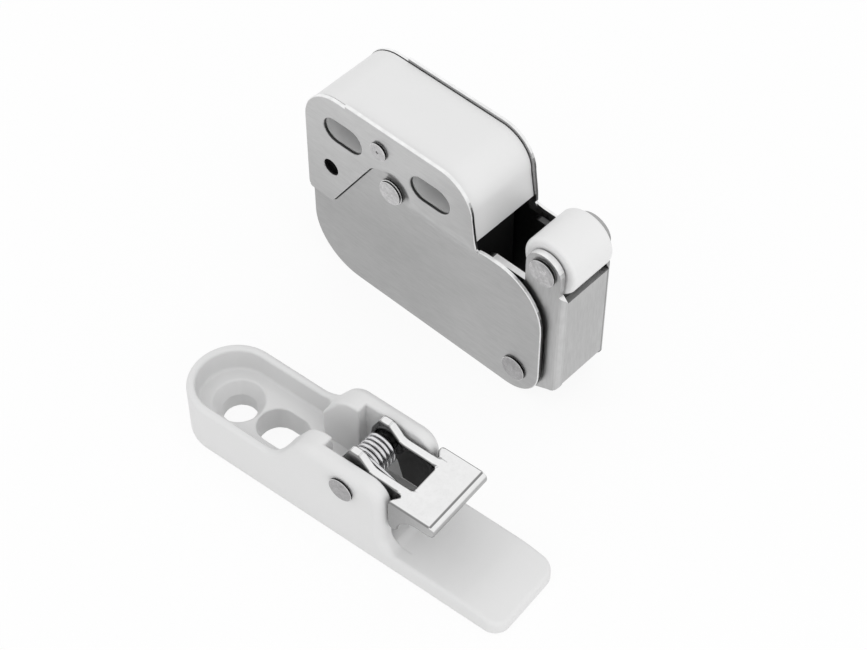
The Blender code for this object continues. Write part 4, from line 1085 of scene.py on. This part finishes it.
class LATCH_OT_pins(bpy.types.Operator):
    """Turns the riveted pins with crowned heads"""
    bl_idname = "latch.pins"
    bl_label = "Pins"

    STEPS = 48          # faces round a pin
    CHAMFER = 0.05      # chamfer of an end without a head, millimetres
    STEP_IN = 0.15      # how much smaller the main rivet's upper step is, millimetres

    def execute(self, context):
        look, size = context.scene.latch_finishes, context.scene.latch_body
        lever = context.scene.latch_lever
        steel, dull = (metal(name, getattr(look, name), look.edge_steel, 0.3, (1.0, 1.0, 1.0), fine=2600.0,
                             cloud=700.0, bump=0.25, swing=0.12) for name in ("rivet_steel", "pin_steel"))
        rows = (
            ("main_rivet", "latch_body", size.main_shank, size.thin_head),
            ("arm_pivot_pin", "latch_body", size.pivot_shank, size.thin_head),
            ("roller_pin", "arm", size.roller_shank, size.pin_head),
        )
        for node, body, shank, thick in rows:
            low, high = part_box(node)
            half, head = (high.y - low.y) / 2, (high.x - low.x) / 2
            if node == "roller_pin":
                half += size.pin_set
            side = self.head(half, half - thick, head, shank)
            if node == "main_rivet":
                side = self.stepped(half, head, shank, side)
            self.turn(node, body, side + other_end(side), Matrix.Translation((low + high) / 2),
                      dull if node == "arm_pivot_pin" else steel)
        low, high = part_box("cover_rivet")
        shank, half, head = size.cover_shank / MM, (high.y - low.y) / 2, (high.x - low.x) / 2
        front = self.head(half, half - size.small_head, head, size.cover_shank, size.dimple)
        self.turn("cover_rivet", "latch_body", self.plain_end(half / MM, shank) + other_end(front),
                  Matrix.Translation((low + high) / 2), steel)
        low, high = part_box("lever_pin")
        pin = strike_place() @ Matrix.Translation((lever.pin_x, 0.0, (low.z + high.z) / 2))
        side = self.head(lever.pin_half, lever.pin_half - size.thin_head, lever.pin_head, lever.pin_radius)
        rear = self.plain_end((lever.pin_half - lever.pin_flush) / MM, lever.pin_radius / MM)
        self.turn("lever_pin", "strike_body", rear + other_end(side), pin, dull)
        return {"FINISHED"}

    def plain_end(self, end, shank):
        """Half section of an end without a head, in millimetres."""
        return [(0.0, end), (shank - self.CHAMFER, end), (shank, end - self.CHAMFER)]

    def head(self, face, seat, head, shank, dimple=0.0):
        """Half section of a head in millimetres, from sizes in metres."""
        size = bpy.context.scene.latch_body
        sizes = face, seat, head, shank, size.head_round, size.head_dome, dimple
        return head_profile(*(value / MM for value in sizes))

    def stepped(self, half, head, shank, lower):
        """The main rivet's section with a second, smaller step on its head."""
        step = bpy.context.scene.latch_body.main_step
        upper = self.head(half + step, half, head - self.STEP_IN * MM, shank)
        ledge = [point for point in lower if point[0] > upper[-3][0]]
        return upper[:-2] + [(upper[-3][0], ledge[0][1])] + ledge + [lower[-1]]

    def turn(self, node, body, profile, place, finish):
        """One riveted pin in place of its CAD node, with bright head rims, partly rubbed wear and partly
        painted highlight, and painted shade on its heads' walls and in the dimple.
        """
        piece = lathed(node, profile, self.STEPS, finish)
        spots, normals = face_table(piece.data)
        facing = np.abs(normals[:, 1])
        out = np.hypot(spots[:, 0], spots[:, 2])
        outer = out > 0.75 * max(r for r, y in profile)
        # Painted highlight on the heads' rims, partly rubbed wear; painted shade on their walls and in the
        # dimple.
        mark(piece.data, "rim", "FACE", 0.7 * outer * (facing > 0.35) * (facing < 0.97))
        hollow = out < 1.1 * bpy.context.scene.latch_body.dimple / MM
        mark(piece.data, "painted_shade", "FACE", outer * (facing < 0.35) + 0.7 * hollow * (facing < 0.97))
        piece.data.transform(place)
        settle(piece, body, "rivet_steel", node)


class LATCH_OT_arm(bpy.types.Operator):
    """Rounds off the bent steel arm"""
    bl_idname = "latch.arm"
    bl_label = "Swing arm"

    def execute(self, context):
        look, size = context.scene.latch_finishes, context.scene.latch_body
        steel = metal("arm_steel", look.arm_steel, look.edge_steel, look.steel_rough, (1.0, 1.0, 0.12),
                      swing=0.025)
        piece = rounded("steel_swing_arm", self.fitted(size), size.arm_edge, steel)
        self.tone(piece.data)
        settle(piece, "arm", "plate_steel", "swing_arm")
        return {"FINISHED"}

    def fitted(self, size):
        """A copy of the arm with its ears set out to the sheets, and its web drawn in and cut lower."""
        mesh = merged_copy("swing_arm")
        low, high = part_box("swing_arm")
        middle = (low.y + high.y) / 2
        top = max(vertex.co.z for vertex in mesh.vertices if high.x - vertex.co.x < 0.05 * MM)
        for vertex in mesh.vertices:
            x, y, z = vertex.co
            web = eased((x - high.x) / (0.5 * MM) + 3.4) * eased((top - z) / MM + 1.5)
            if abs(y - middle) > 2.0 * MM:
                vertex.co.y += math.copysign(size.ear_set, y - middle)
            vertex.co.x -= size.web_set * web
            if abs(z - top) < 0.05 * MM and web > 0.5:
                vertex.co.z -= size.web_cut
        return mesh

    def tone(self, mesh):
        """Marks painted light and shade on the arm: bright edges, partly rubbed wear and partly painted
        highlight; painted highlights on edges facing up and on its bends, dimmed on the tails and the rear
        ear; painted shade on the inner faces, on the web's top under the roller and on the tails inside the
        body.
        """
        spots, normals = face_table(mesh)
        rim = np.array([value.value for value in mesh.attributes["rim"].data])
        # Painted highlight on bends and up-facing edges; painted shade inside, on the web's top and on the
        # tails.
        bend = 1.2 * (normals[:, 0] * normals[:, 1]) ** 2 * (normals[:, 0] > 0.0)
        up = eased((normals[:, 2] - 0.2) / 0.4)
        pivot_x, middle, _ = joint_place("arm_swing")
        tail = eased((spots[:, 0] - pivot_x) / 6.0 + 1.2) * np.where(spots[:, 1] > middle, 0.3, 1.0)
        share = np.where(spots[:, 0] > pivot_x, 1.0, tail)
        high = spots[:, 0].max()
        web = (normals[:, 2] > 0.9) & (spots[:, 0] > high - 1.5) & (np.abs(spots[:, 1] - middle) < 3.0)
        share *= np.where((spots[:, 1] > middle + 3.0) & (normals[:, 1] < 0.3), 0.55, 1.0)
        bright = np.where(rim > 0.0, rim, np.maximum(up * ~web, bend))
        mark(mesh, "rim", "FACE", share * np.clip(bright, 0.0, 1.0))
        aside = spots[:, 1] - middle
        inner = (normals[:, 1] * aside < -0.5 * np.abs(aside)) | (normals[:, 0] < -0.9)
        mark(mesh, "painted_shade", "FACE", np.maximum(np.maximum(0.8 * inner, 0.45 * web), 1.0 - share))


class LATCH_OT_roller(bpy.types.Operator):
    """Turns the white roller"""
    bl_idname = "latch.roller"
    bl_label = "Roller"

    STEPS = 96          # faces round the roller

    def execute(self, context):
        look, size = context.scene.latch_finishes, context.scene.latch_body
        white = plastic("roller_white", look.roller_white, 0.35)
        low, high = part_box("roller")
        half, radius = (high.y - low.y) / 2 / MM, (high.x - low.x) / 2 / MM
        half, radius = half + size.ear_set / MM, radius + size.roller_more / MM
        rim, bore = size.roller_rim / MM, size.roller_bore / MM
        side = [(bore, half - 0.1), (bore + 0.1, half), (radius - rim - 0.15, half)]
        side += arc_points(radius - rim, half - rim, rim, 90, 0, 9)
        side += [(radius, half - rim - 0.15)]
        piece = lathed("roller", side + other_end(side) + [side[0]], self.STEPS, white)
        piece.data.transform(Matrix.Translation((low + high) / 2))
        piece.data.set_sharp_from_angle(angle=math.radians(50))
        settle(piece, "roller", "white_plastic", "roller")
        return {"FINISHED"}


class LATCH_OT_wires(bpy.types.Operator):
    """Draws the two springs and the follower's wire"""
    bl_idname = "latch.wires"
    bl_label = "Springs and wire"

    # Places on a spring's leg are x and z from its coil's axis, in millimetres.
    EJECT_HOOK = ((-9.5, -0.15), (-9.2, -2.15), (-8.4, -2.75), (-2.0, -2.75))
    EJECT_LEG = ((3.05, 2.0), (5.0, 8.6), (5.4, 11.0))
    EJECT_FOLLOWS = ((4.0, 3.3), (4.0, 9.5))    # where its leg would start to follow the arm, and fully do; bend does not use them
    LEVER_LEG = ((7.6, -0.6), (4.5, 0.9))
    LEVER_FOLLOWS = ((2.6, 0.0), (6.5, 0.0))    # the same for the leg under the lever
    LEVER_FOOT = 4.3                            # height of its other leg's end over the table
    LANE = 2.75                                 # how far the follower's long stretch lies beside the middle

    def execute(self, context):
        look, size = context.scene.latch_finishes, context.scene.latch_springs
        bright = metal("spring_steel", look.spring_steel, look.edge_steel, 0.2, (1.0, 1.0, 1.0), bump=0.05)
        coil = coil_points(size.eject_radius / MM, size.eject_turns, size.eject_pitch / MM,
                           math.radians(270), size.per_turn)
        path = self.legged(coil, self.EJECT_HOOK, self.EJECT_LEG)
        follows = [(x, coil[-1][1], z) for x, z in self.EJECT_FOLLOWS]
        place = Matrix.Translation(Vector(joint_place("arm_swing")) * MM)
        self.bend("eject_spring", "latch_body", path, size.eject_wire, bright, place, ("arm", *follows))
        lever = context.scene.latch_lever
        pin = joint_place("lever_swing")
        coil = coil_points(size.lever_radius / MM, size.lever_turns, size.lever_pitch / MM,
                           math.radians(90), size.per_turn)
        rise = size.lever_radius / MM
        path = self.legged(coil, self.LEVER_LEG + ((1.4, rise),),
                           ((-1.4, -rise), (-2.6, -rise - 1.6), (-3.2, self.LEVER_FOOT - pin[2])))
        follows = [(x, coil[0][1], z) for x, z in self.LEVER_FOLLOWS]
        place = strike_place() @ Matrix.Translation((lever.pin_x, 0.0, pin[2] * MM))
        self.bend("lever_spring", "strike_body", path, size.lever_wire, bright, place, ("lever", *follows))
        low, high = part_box("follower_wire")
        half = size.follower_wire / MM / 2
        x0, x1 = low.x / MM + half, high.x / MM - half
        y0, y1, z = low.y / MM, high.y / MM, (low.z + high.z) / 2 / MM
        lane = joint_place("follower_swing")[1] - self.LANE
        path = corner_cut([(x1, y0, z), (x1, lane, z), (x0, lane, z), (x0, y1, z)], 4)
        self.bend("follower_wire", "follower", path, size.follower_wire, bright, Matrix.Identity(4))
        return {"FINISHED"}

    def legged(self, coil, first, last):
        """A coil with a rounded leg at either end."""
        lead = corner_cut([(x, coil[0][1], z) for x, z in first] + [coil[0]], 3)
        trail = corner_cut([coil[-1]] + [(x, coil[-1][1], z) for x, z in last], 3)
        return lead[:-1] + coil + trail[1:]

    def bend(self, node, body, path, diameter, finish, place, leg=None):
        """One wire in place of its CAD node; with a leg, it is baked in place on no body, and the leg's body,
        start and end are not used.
        """
        sides = bpy.context.scene.latch_springs.sides
        points = [tuple(value * MM for value in p) for p in path]
        piece = grown("drawn_" + node, shared(wire_tree), points, Diameter=diameter, Sides=sides,
                      Finish=finish)
        piece.data.transform(place)
        if not leg:
            settle(piece, body, "spring_steel", node)
            return
        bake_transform(piece)
        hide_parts(node)


class LATCH_OT_strike(bpy.types.Operator):
    """Moulds the strike with soft edges and fillets"""
    bl_idname = "latch.strike"
    bl_label = "Strike"

    # Lengths are in millimetres.
    FOOT_ROUND, HOLE_ROUND = 0.2, 0.2   # edges at the foot and at both screw holes
    RECESS_ROUND = 0.5                  # corner round the recess's floor
    GAP_ROUND, CHANNEL_ROUND = 0.35, 0.25   # corners where gap and channel meet the recess
    LAP = 1.0           # how far a cut reaches past what it opens
    FADE = 2.0          # over which the cheeks' softer edge ends
    PIN_PLAY = 0.1      # room round the pin
    THIN = 1.7          # how the tongue thins, as a power
    MARGIN = 0.6        # room round the grid, millimetres
    # Painted shadow of the lever on the channel's floor.
    FLOOR_SHADOW = 0.4    # darkness of the channel's floor under the lever

    def execute(self, context):
        s = in_mm(context.scene.latch_strike)
        lever = in_mm(context.scene.latch_lever)
        pin_z = joint_place("lever_swing")[2]
        slope = context.scene.latch_strike.rise_slope
        foot = s.cheek_left - (s.cheek_top - s.rim) / math.tan(slope)

        def field(x, y, z):
            wide = np.abs(y)
            half = s.half - s.taper * np.clip((x - s.half) / (s.long - s.half), 0.0, 1.0)
            round_end = np.hypot(x - s.half, y)
            plan = np.where(x < s.half, round_end - s.half, wide - half)
            plan = round_and(plan, x - s.long, s.tongue_round)
            thin = np.clip((x - s.long + s.tongue_slope) / s.tongue_slope, 0.0, 1.2)
            tongue = z - s.tongue + (s.tongue - s.tongue_tip) * thin ** self.THIN
            rim = np.maximum(z - s.rim, x - s.block_right)
            rise = (z - s.rim) * math.cos(slope) - (x - foot) * math.sin(slope)
            cheek = round_and(round_and(z - s.cheek_top, rise, s.rise_round), x - s.cheek_right,
                              s.cheek_round)
            top = round_or(round_or(rim, cheek, s.rise_round), tongue, s.tongue_fillet)
            high = np.clip((x - foot) / (s.cheek_left - foot), 0.0, 1.0)
            high *= np.clip((s.cheek_right + self.FADE - x) / self.FADE, 0.0, 1.0)
            solid = round_and(plan, top, s.soft + (s.cheek_soft - s.soft) * high)
            solid = round_and(solid, -z, self.FOOT_ROUND)
            recess = np.where(x < s.half, round_end, wide) - (s.half - s.wall)
            recess = round_and(recess, x - s.recess_end, s.recess_round)
            hollow = round_and(recess, s.floor - z, self.RECESS_ROUND)
            gap = np.maximum(np.maximum(wide - s.block_half, s.floor + s.floor_step - z),
                             np.maximum(s.recess_end - 2 * self.LAP - x, x - s.block_right - self.LAP))
            hollow = round_or(hollow, gap, self.GAP_ROUND)
            channel = np.maximum(np.maximum(wide - s.channel_half, s.tongue + s.floor_step - z),
                                 np.maximum(s.block_right - x, x - s.channel_end))
            hollow = round_or(hollow, channel, self.CHANNEL_ROUND)
            cone = np.hypot(x - s.screw_x, y)
            slant = (s.cone_radius - s.screw_radius) / s.cone_depth
            reach = s.screw_radius + np.maximum(z - s.floor + s.cone_depth, 0.0) * slant
            hole = np.maximum((cone - reach) / math.hypot(1.0, slant), z - s.floor - self.LAP)
            across = np.maximum(np.maximum(s.slot_x - x, x - s.slot_x - s.slot_long), 0.0)
            slot = np.maximum(np.hypot(across, y) - s.slot_radius, z - s.floor - self.LAP)
            solid = round_and(solid, -hollow, s.inner_soft)
            solid = round_and(solid, -np.minimum(hole, slot), self.HOLE_ROUND)
            bore = np.hypot(x - lever.pin_x, z - pin_z) - lever.pin_radius - self.PIN_PLAY
            return np.maximum(solid, -bore)

        look = context.scene.latch_finishes
        white = plastic("strike_white", look.strike_white, look.white_rough)
        low = (-self.MARGIN, -s.half - self.MARGIN, -self.MARGIN)
        high = (s.long + self.MARGIN, s.half + self.MARGIN, s.cheek_top + self.MARGIN)

        # Painted shadow on the channel's floor under the lever, fading in past the blocks and out before the
        # bar.
        def painted_shade_of(points, normals):
            x, y, z = points.T
            under = (z < s.tongue + 0.6) & (np.abs(y) < s.channel_half) & (normals[:, 2] > 0.3)
            ends = eased((x - s.block_right - 2.0) / 2.0) * eased((lever.bar_left - 0.5 - x) / 1.5)
            return np.where(under, self.FLOOR_SHADOW * ends, 0.0)

        piece = drawn_solid("moulded_strike_base", field, low, high, s.grid, strike_place(), white, painted_shade_of)
        settle(piece, "strike_body", "white_plastic", "strike_base")
        return {"FINISHED"}


class LATCH_OT_lever(bpy.types.Operator):
    """Casts the bright hook lever"""
    bl_idname = "latch.lever"
    bl_label = "Hook lever"

    # Lengths are in millimetres.
    SIDE_ROUND, FOOT_ROUND = 0.8, 0.7           # the bar's upper and lower left edges
    LIP_ROUND = 0.35                            # edge of the nest at the lip, softer towards the nose
    WINDOW_ROUND, HOLE_ROUND = 0.25, 0.15       # edges of the window and of the pin's holes
    JOIN_ROUND = 0.4                            # corner between the rails and the bar
    LEAN_IN, LEAN_RUN = 0.4, 1.6                # where the bar's left side leans in, from the bar's end
    NEST_FOOT = 0.2                             # how far the lip reaches below the nest's middle
    # Painted shade and dark reflections on the lever's edges and faces.
    EDGE, INSIDE, CHEEK, LEFT = 0.75, 0.9, 0.6, 0.55    # darkness of its edges and faces
    END, END_FADE = 0.70, 0.22                          # darkness of the bar's ends, and how much it fades

    def execute(self, context):
        s = in_mm(context.scene.latch_lever)
        pin_z = joint_place("lever_swing")[2]
        top = pin_z + s.bar_rise
        right = s.bar_left + s.bar_long
        nest_x, nest_z = s.bar_left + s.lip + s.nest, top - 2 * s.nose - s.nest
        soft = s.soft
        lap = s.bar_left + s.rail_lap
        wall = s.hole + s.ear_wall
        pin_x, knuckle = s.pin_x, pin_z + s.knuckle_rise
        crest = np.array([(pin_x - wall, pin_z), (pin_x - wall + 0.2, pin_z + 1.6), (pin_x - 1.0, knuckle),
                          (pin_x + 0.6, knuckle), (pin_x + 2.4, pin_z + s.rail_rise), (lap, top)])
        split = [a + (b - a) * share for a, b in zip(crest[:-1], crest[1:]) for share in (0.0, 0.3, 0.7)]
        ear = [tuple(point) for point in corner_cut(split + [crest[-1]], 2)]
        ear += [(lap, top - s.nose - 0.75), (s.bar_left + 0.6, s.rail_foot),
                (pin_x + 2.6, s.rail_foot)]
        ear += arc_points(pin_x, pin_z, wall, -45, -172, 14)

        def field(x, y, z):
            wide = np.abs(y)
            bar = round_and(z - top, x - right, s.nose)
            left = s.bar_left + s.lean * eased((s.bar_half - self.LEAN_IN - wide) / self.LEAN_RUN)
            bar = round_and(bar, left - x, self.SIDE_ROUND)
            under = s.nest - np.hypot(np.minimum(x - nest_x, 0.0), z - nest_z)
            bar = round_and(bar, under, self.LIP_ROUND + (s.nose - 0.4) * np.clip(x - nest_x, 0.0, 1.0))
            bar = round_and(bar, nest_z - self.NEST_FOOT - z, self.FOOT_ROUND)
            bar = round_and(bar, wide - s.bar_half, soft)
            window = np.maximum(wide - s.ear_in, x - s.bar_left - s.window)
            bar = round_and(bar, -window, self.WINDOW_ROUND)
            ears = polygon_distance(x, z, ear)
            ears = round_and(ears, np.abs(wide - (s.ear_in + s.ear_out) / 2)
                             - (s.ear_out - s.ear_in) / 2, soft)
            ears = round_and(ears, s.hole - np.hypot(x - pin_x, z - pin_z), self.HOLE_ROUND)
            return round_or(bar, ears, self.JOIN_ROUND)

        look = context.scene.latch_finishes
        chrome = metal("cast_chrome", look.chrome, look.chrome, 0.14, (1.0, 1.0, 1.0), fine=1800.0,
                       cloud=300.0, bump=0.06, swing=0.02)
        low = (pin_x - wall - 0.5, -s.bar_half - 0.4, s.rail_foot - 0.5)
        high = (right + 0.4, s.bar_half + 0.4, knuckle + 0.4)

        # Painted shade and dark reflections: on sharply bent edges off the flat tops, the ears' inner and
        # outer faces, the left faces, the bar's ends fading along it, and the nose's lower part with a line
        # along its top.
        def painted_shade_of(points, normals):
            x, y, z = points.T
            ahead, aside, up = normals.T
            wide = np.abs(y)
            beyond_window = x > s.bar_left + s.window + 0.35
            flat = beyond_window | ((x > s.bar_left + 0.2) & (wide > s.ear_in + 0.25))
            flat &= (wide < s.bar_half - 0.4) & (up > 0.3)
            edges = self.EDGE * eased((bending(field, points) - 1.8) / 2.5) * ~flat
            inward = (aside * y < -0.7 * wide) & (wide < s.ear_in + 0.1)
            end = (aside * y > 0.7 * wide) & (wide > s.bar_half - 0.1)
            cheek = (aside * y > 0.7 * wide) & (wide < s.ear_out + 0.1)
            left = (ahead < -0.6) & (x > s.bar_left - 0.5) & (wide > s.ear_in + 0.1)
            fading = self.END - self.END_FADE * (x - s.bar_left) / s.bar_long
            shaded = np.where(inward, self.INSIDE, np.where(end, fading, 0.0))
            shaded = np.where(cheek, self.CHEEK, np.where(left, self.LEFT, shaded))
            nose = (ahead > 0.05) & (x > right - 1.3)
            line = (up > 0.91) & (up < 0.985)
            below = 0.5 * eased((0.6 - up) / 0.2) + 0.4 * eased(-(up + 0.1) / 0.15)
            shaded = np.where(nose, np.maximum(self.EDGE * line, below), shaded)
            return np.maximum(edges * ~nose, shaded)

        piece = drawn_solid("cast_hook_lever", field, low, high, s.grid, strike_place(), chrome, painted_shade_of)
        settle(piece, "lever", "cast_chrome", "hook_lever")
        return {"FINISHED"}


class LATCH_OT_stage(bpy.types.Operator):
    """Sets up the floor, the soft light and the camera"""
    bl_idname = "latch.stage"
    bl_label = "Stage"

    AZIMUTH = math.radians(42.888)
    ELEVATION = math.radians(50.216)
    STAND = (113.055, -110.791, 215.40)
    LENS = 88.69
    SKY = 0.86                  # strength of the surroundings' light
    GLOW = 0.9                  # share of plain white in the floor that the camera sees
    LAMPS = (
        ("top_box", (-0.15, 0.10, 0.75), 0.9, 0.6),
        ("front_box", (0.15, -0.75, 0.45), 0.8, 0.5),
        ("right_box", (0.75, -0.10, 0.45), 0.8, 1.25),
    )

    def execute(self, context):
        scene = context.scene
        scene.view_settings.view_transform = "Standard"
        floor = bpy.data.meshes.new("floor")
        reach, drop = 3.0, -0.00002
        floor.from_pydata([(-reach, -reach, drop), (reach, -reach, drop), (reach, reach, drop),
                           (-reach, reach, drop)], [], [(0, 1, 2, 3)])
        floor.materials.append(self.floor_white())
        shown("floor", floor)
        self.sky(scene)
        for name, place, wide, power in self.LAMPS:
            lamp = bpy.data.lights.new(name, "AREA")
            lamp.energy = power
            lamp.size = wide
            rig = shown(name, lamp)
            rig.location = place
            rig.rotation_euler = (-Vector(place)).to_track_quat("-Z", "Y").to_euler()
            rig.visible_glossy = False
        back = Vector((math.sin(self.AZIMUTH) * math.cos(self.ELEVATION),
                       -math.cos(self.AZIMUTH) * math.cos(self.ELEVATION), math.sin(self.ELEVATION)))
        camera = bpy.data.cameras.new("camera")
        camera.lens = self.LENS
        camera.clip_start = 0.01
        rig = shown("camera", camera)
        rig.location = Vector(JOINTS["lever_swing"]["pos_m"]) + Vector(self.STAND) * MM
        rig.rotation_euler = (-back).to_track_quat("-Z", "Y").to_euler()
        scene.camera = rig
        return {"FINISHED"}

    def seen(self, tree):
        """One where a camera, mirror or glass ray looks straight at the background."""
        path = tree.nodes.new("ShaderNodeLightPath")
        either = math_node(tree, "MAXIMUM", path.outputs["Is Camera Ray"], path.outputs["Is Glossy Ray"])
        return math_node(tree, "MAXIMUM", either, path.outputs["Is Transmission Ray"])

    def floor_white(self):
        """Pale floor that looks white and keeps a soft shadow."""
        finish, tree, shader = new_finish("floor_white")
        grain = noise(tree, object_place(tree), 30.0)
        pale, paler = (shade(WHITE[:3], share) for share in (0.90, 0.92))
        tree.links.new(mixed(tree, grain, pale, paler), shader.inputs["Base Color"])
        shader.inputs["Roughness"].default_value = 0.9
        glow = put(tree, "ShaderNodeEmission")
        share = math_node(tree, "MULTIPLY", self.seen(tree), self.GLOW)
        blend = put(tree, "ShaderNodeMixShader", {0: share, 1: shader.outputs[0], 2: glow.outputs[0]})
        tree.links.new(blend.outputs[0], tree.nodes["Material Output"].inputs["Surface"])
        return finish

    def sky(self, scene):
        """White surroundings at a plain level."""
        world = bpy.data.worlds.new("studio")
        scene.world = world
        world.use_nodes = True
        tree = world.node_tree
        light = tree.nodes["Background"]
        light.inputs["Color"].default_value = WHITE
        light.inputs["Strength"].default_value = self.SKY
        white = put(tree, "ShaderNodeBackground", {"Color": WHITE})
        feeds = {0: self.seen(tree), 1: light.outputs[0], 2: white.outputs[0]}
        blend = put(tree, "ShaderNodeMixShader", feeds)
        tree.links.new(blend.outputs[0], tree.nodes["World Output"].inputs["Surface"])


OPERATORS = (LATCH_OT_sheets, LATCH_OT_cover, LATCH_OT_inside, LATCH_OT_pins, LATCH_OT_arm, LATCH_OT_roller,
             LATCH_OT_wires, LATCH_OT_strike, LATCH_OT_lever, LATCH_OT_stage)
GROUPS_OF_SIZES = (("latch_finishes", LatchFinishes), ("latch_body", BodySizes),
                   ("latch_springs", SpringSizes), ("latch_strike", StrikeSizes),
                   ("latch_lever", LeverSizes))


class LATCH_PT_panel(bpy.types.Panel):
    """Lists the latch's sizes, finishes and operators"""
    bl_idname = "LATCH_PT_panel"
    bl_label = "Touch latch"
    bl_space_type = "VIEW_3D"
    bl_region_type = "UI"
    bl_category = "Latch"

    def draw(self, context):
        for key, kind in GROUPS_OF_SIZES:
            box = self.layout.box()
            for name in kind.__annotations__:
                box.prop(getattr(context.scene, key), name)
        for operator in OPERATORS:
            self.layout.operator(operator.bl_idname)


def register():
    """Registers the classes and hangs the sizes on the scene."""
    for key, kind in GROUPS_OF_SIZES:
        bpy.utils.register_class(kind)
        setattr(bpy.types.Scene, key, bpy.props.PointerProperty(type=kind))
    for kind in OPERATORS + (LATCH_PT_panel,):
        bpy.utils.register_class(kind)


def unregister():
    """Takes the classes and the sizes away again."""
    for kind in (LATCH_PT_panel,) + OPERATORS[::-1]:
        bpy.utils.unregister_class(kind)
    for key, kind in GROUPS_OF_SIZES[::-1]:
        delattr(bpy.types.Scene, key)
        bpy.utils.unregister_class(kind)


def main():
    """Builds every piece in order."""
    register()
    for operator in OPERATORS:
        family, name = operator.bl_idname.split(".")
        getattr(getattr(bpy.ops, family), name)()


if __name__ == "__main__":
    main()
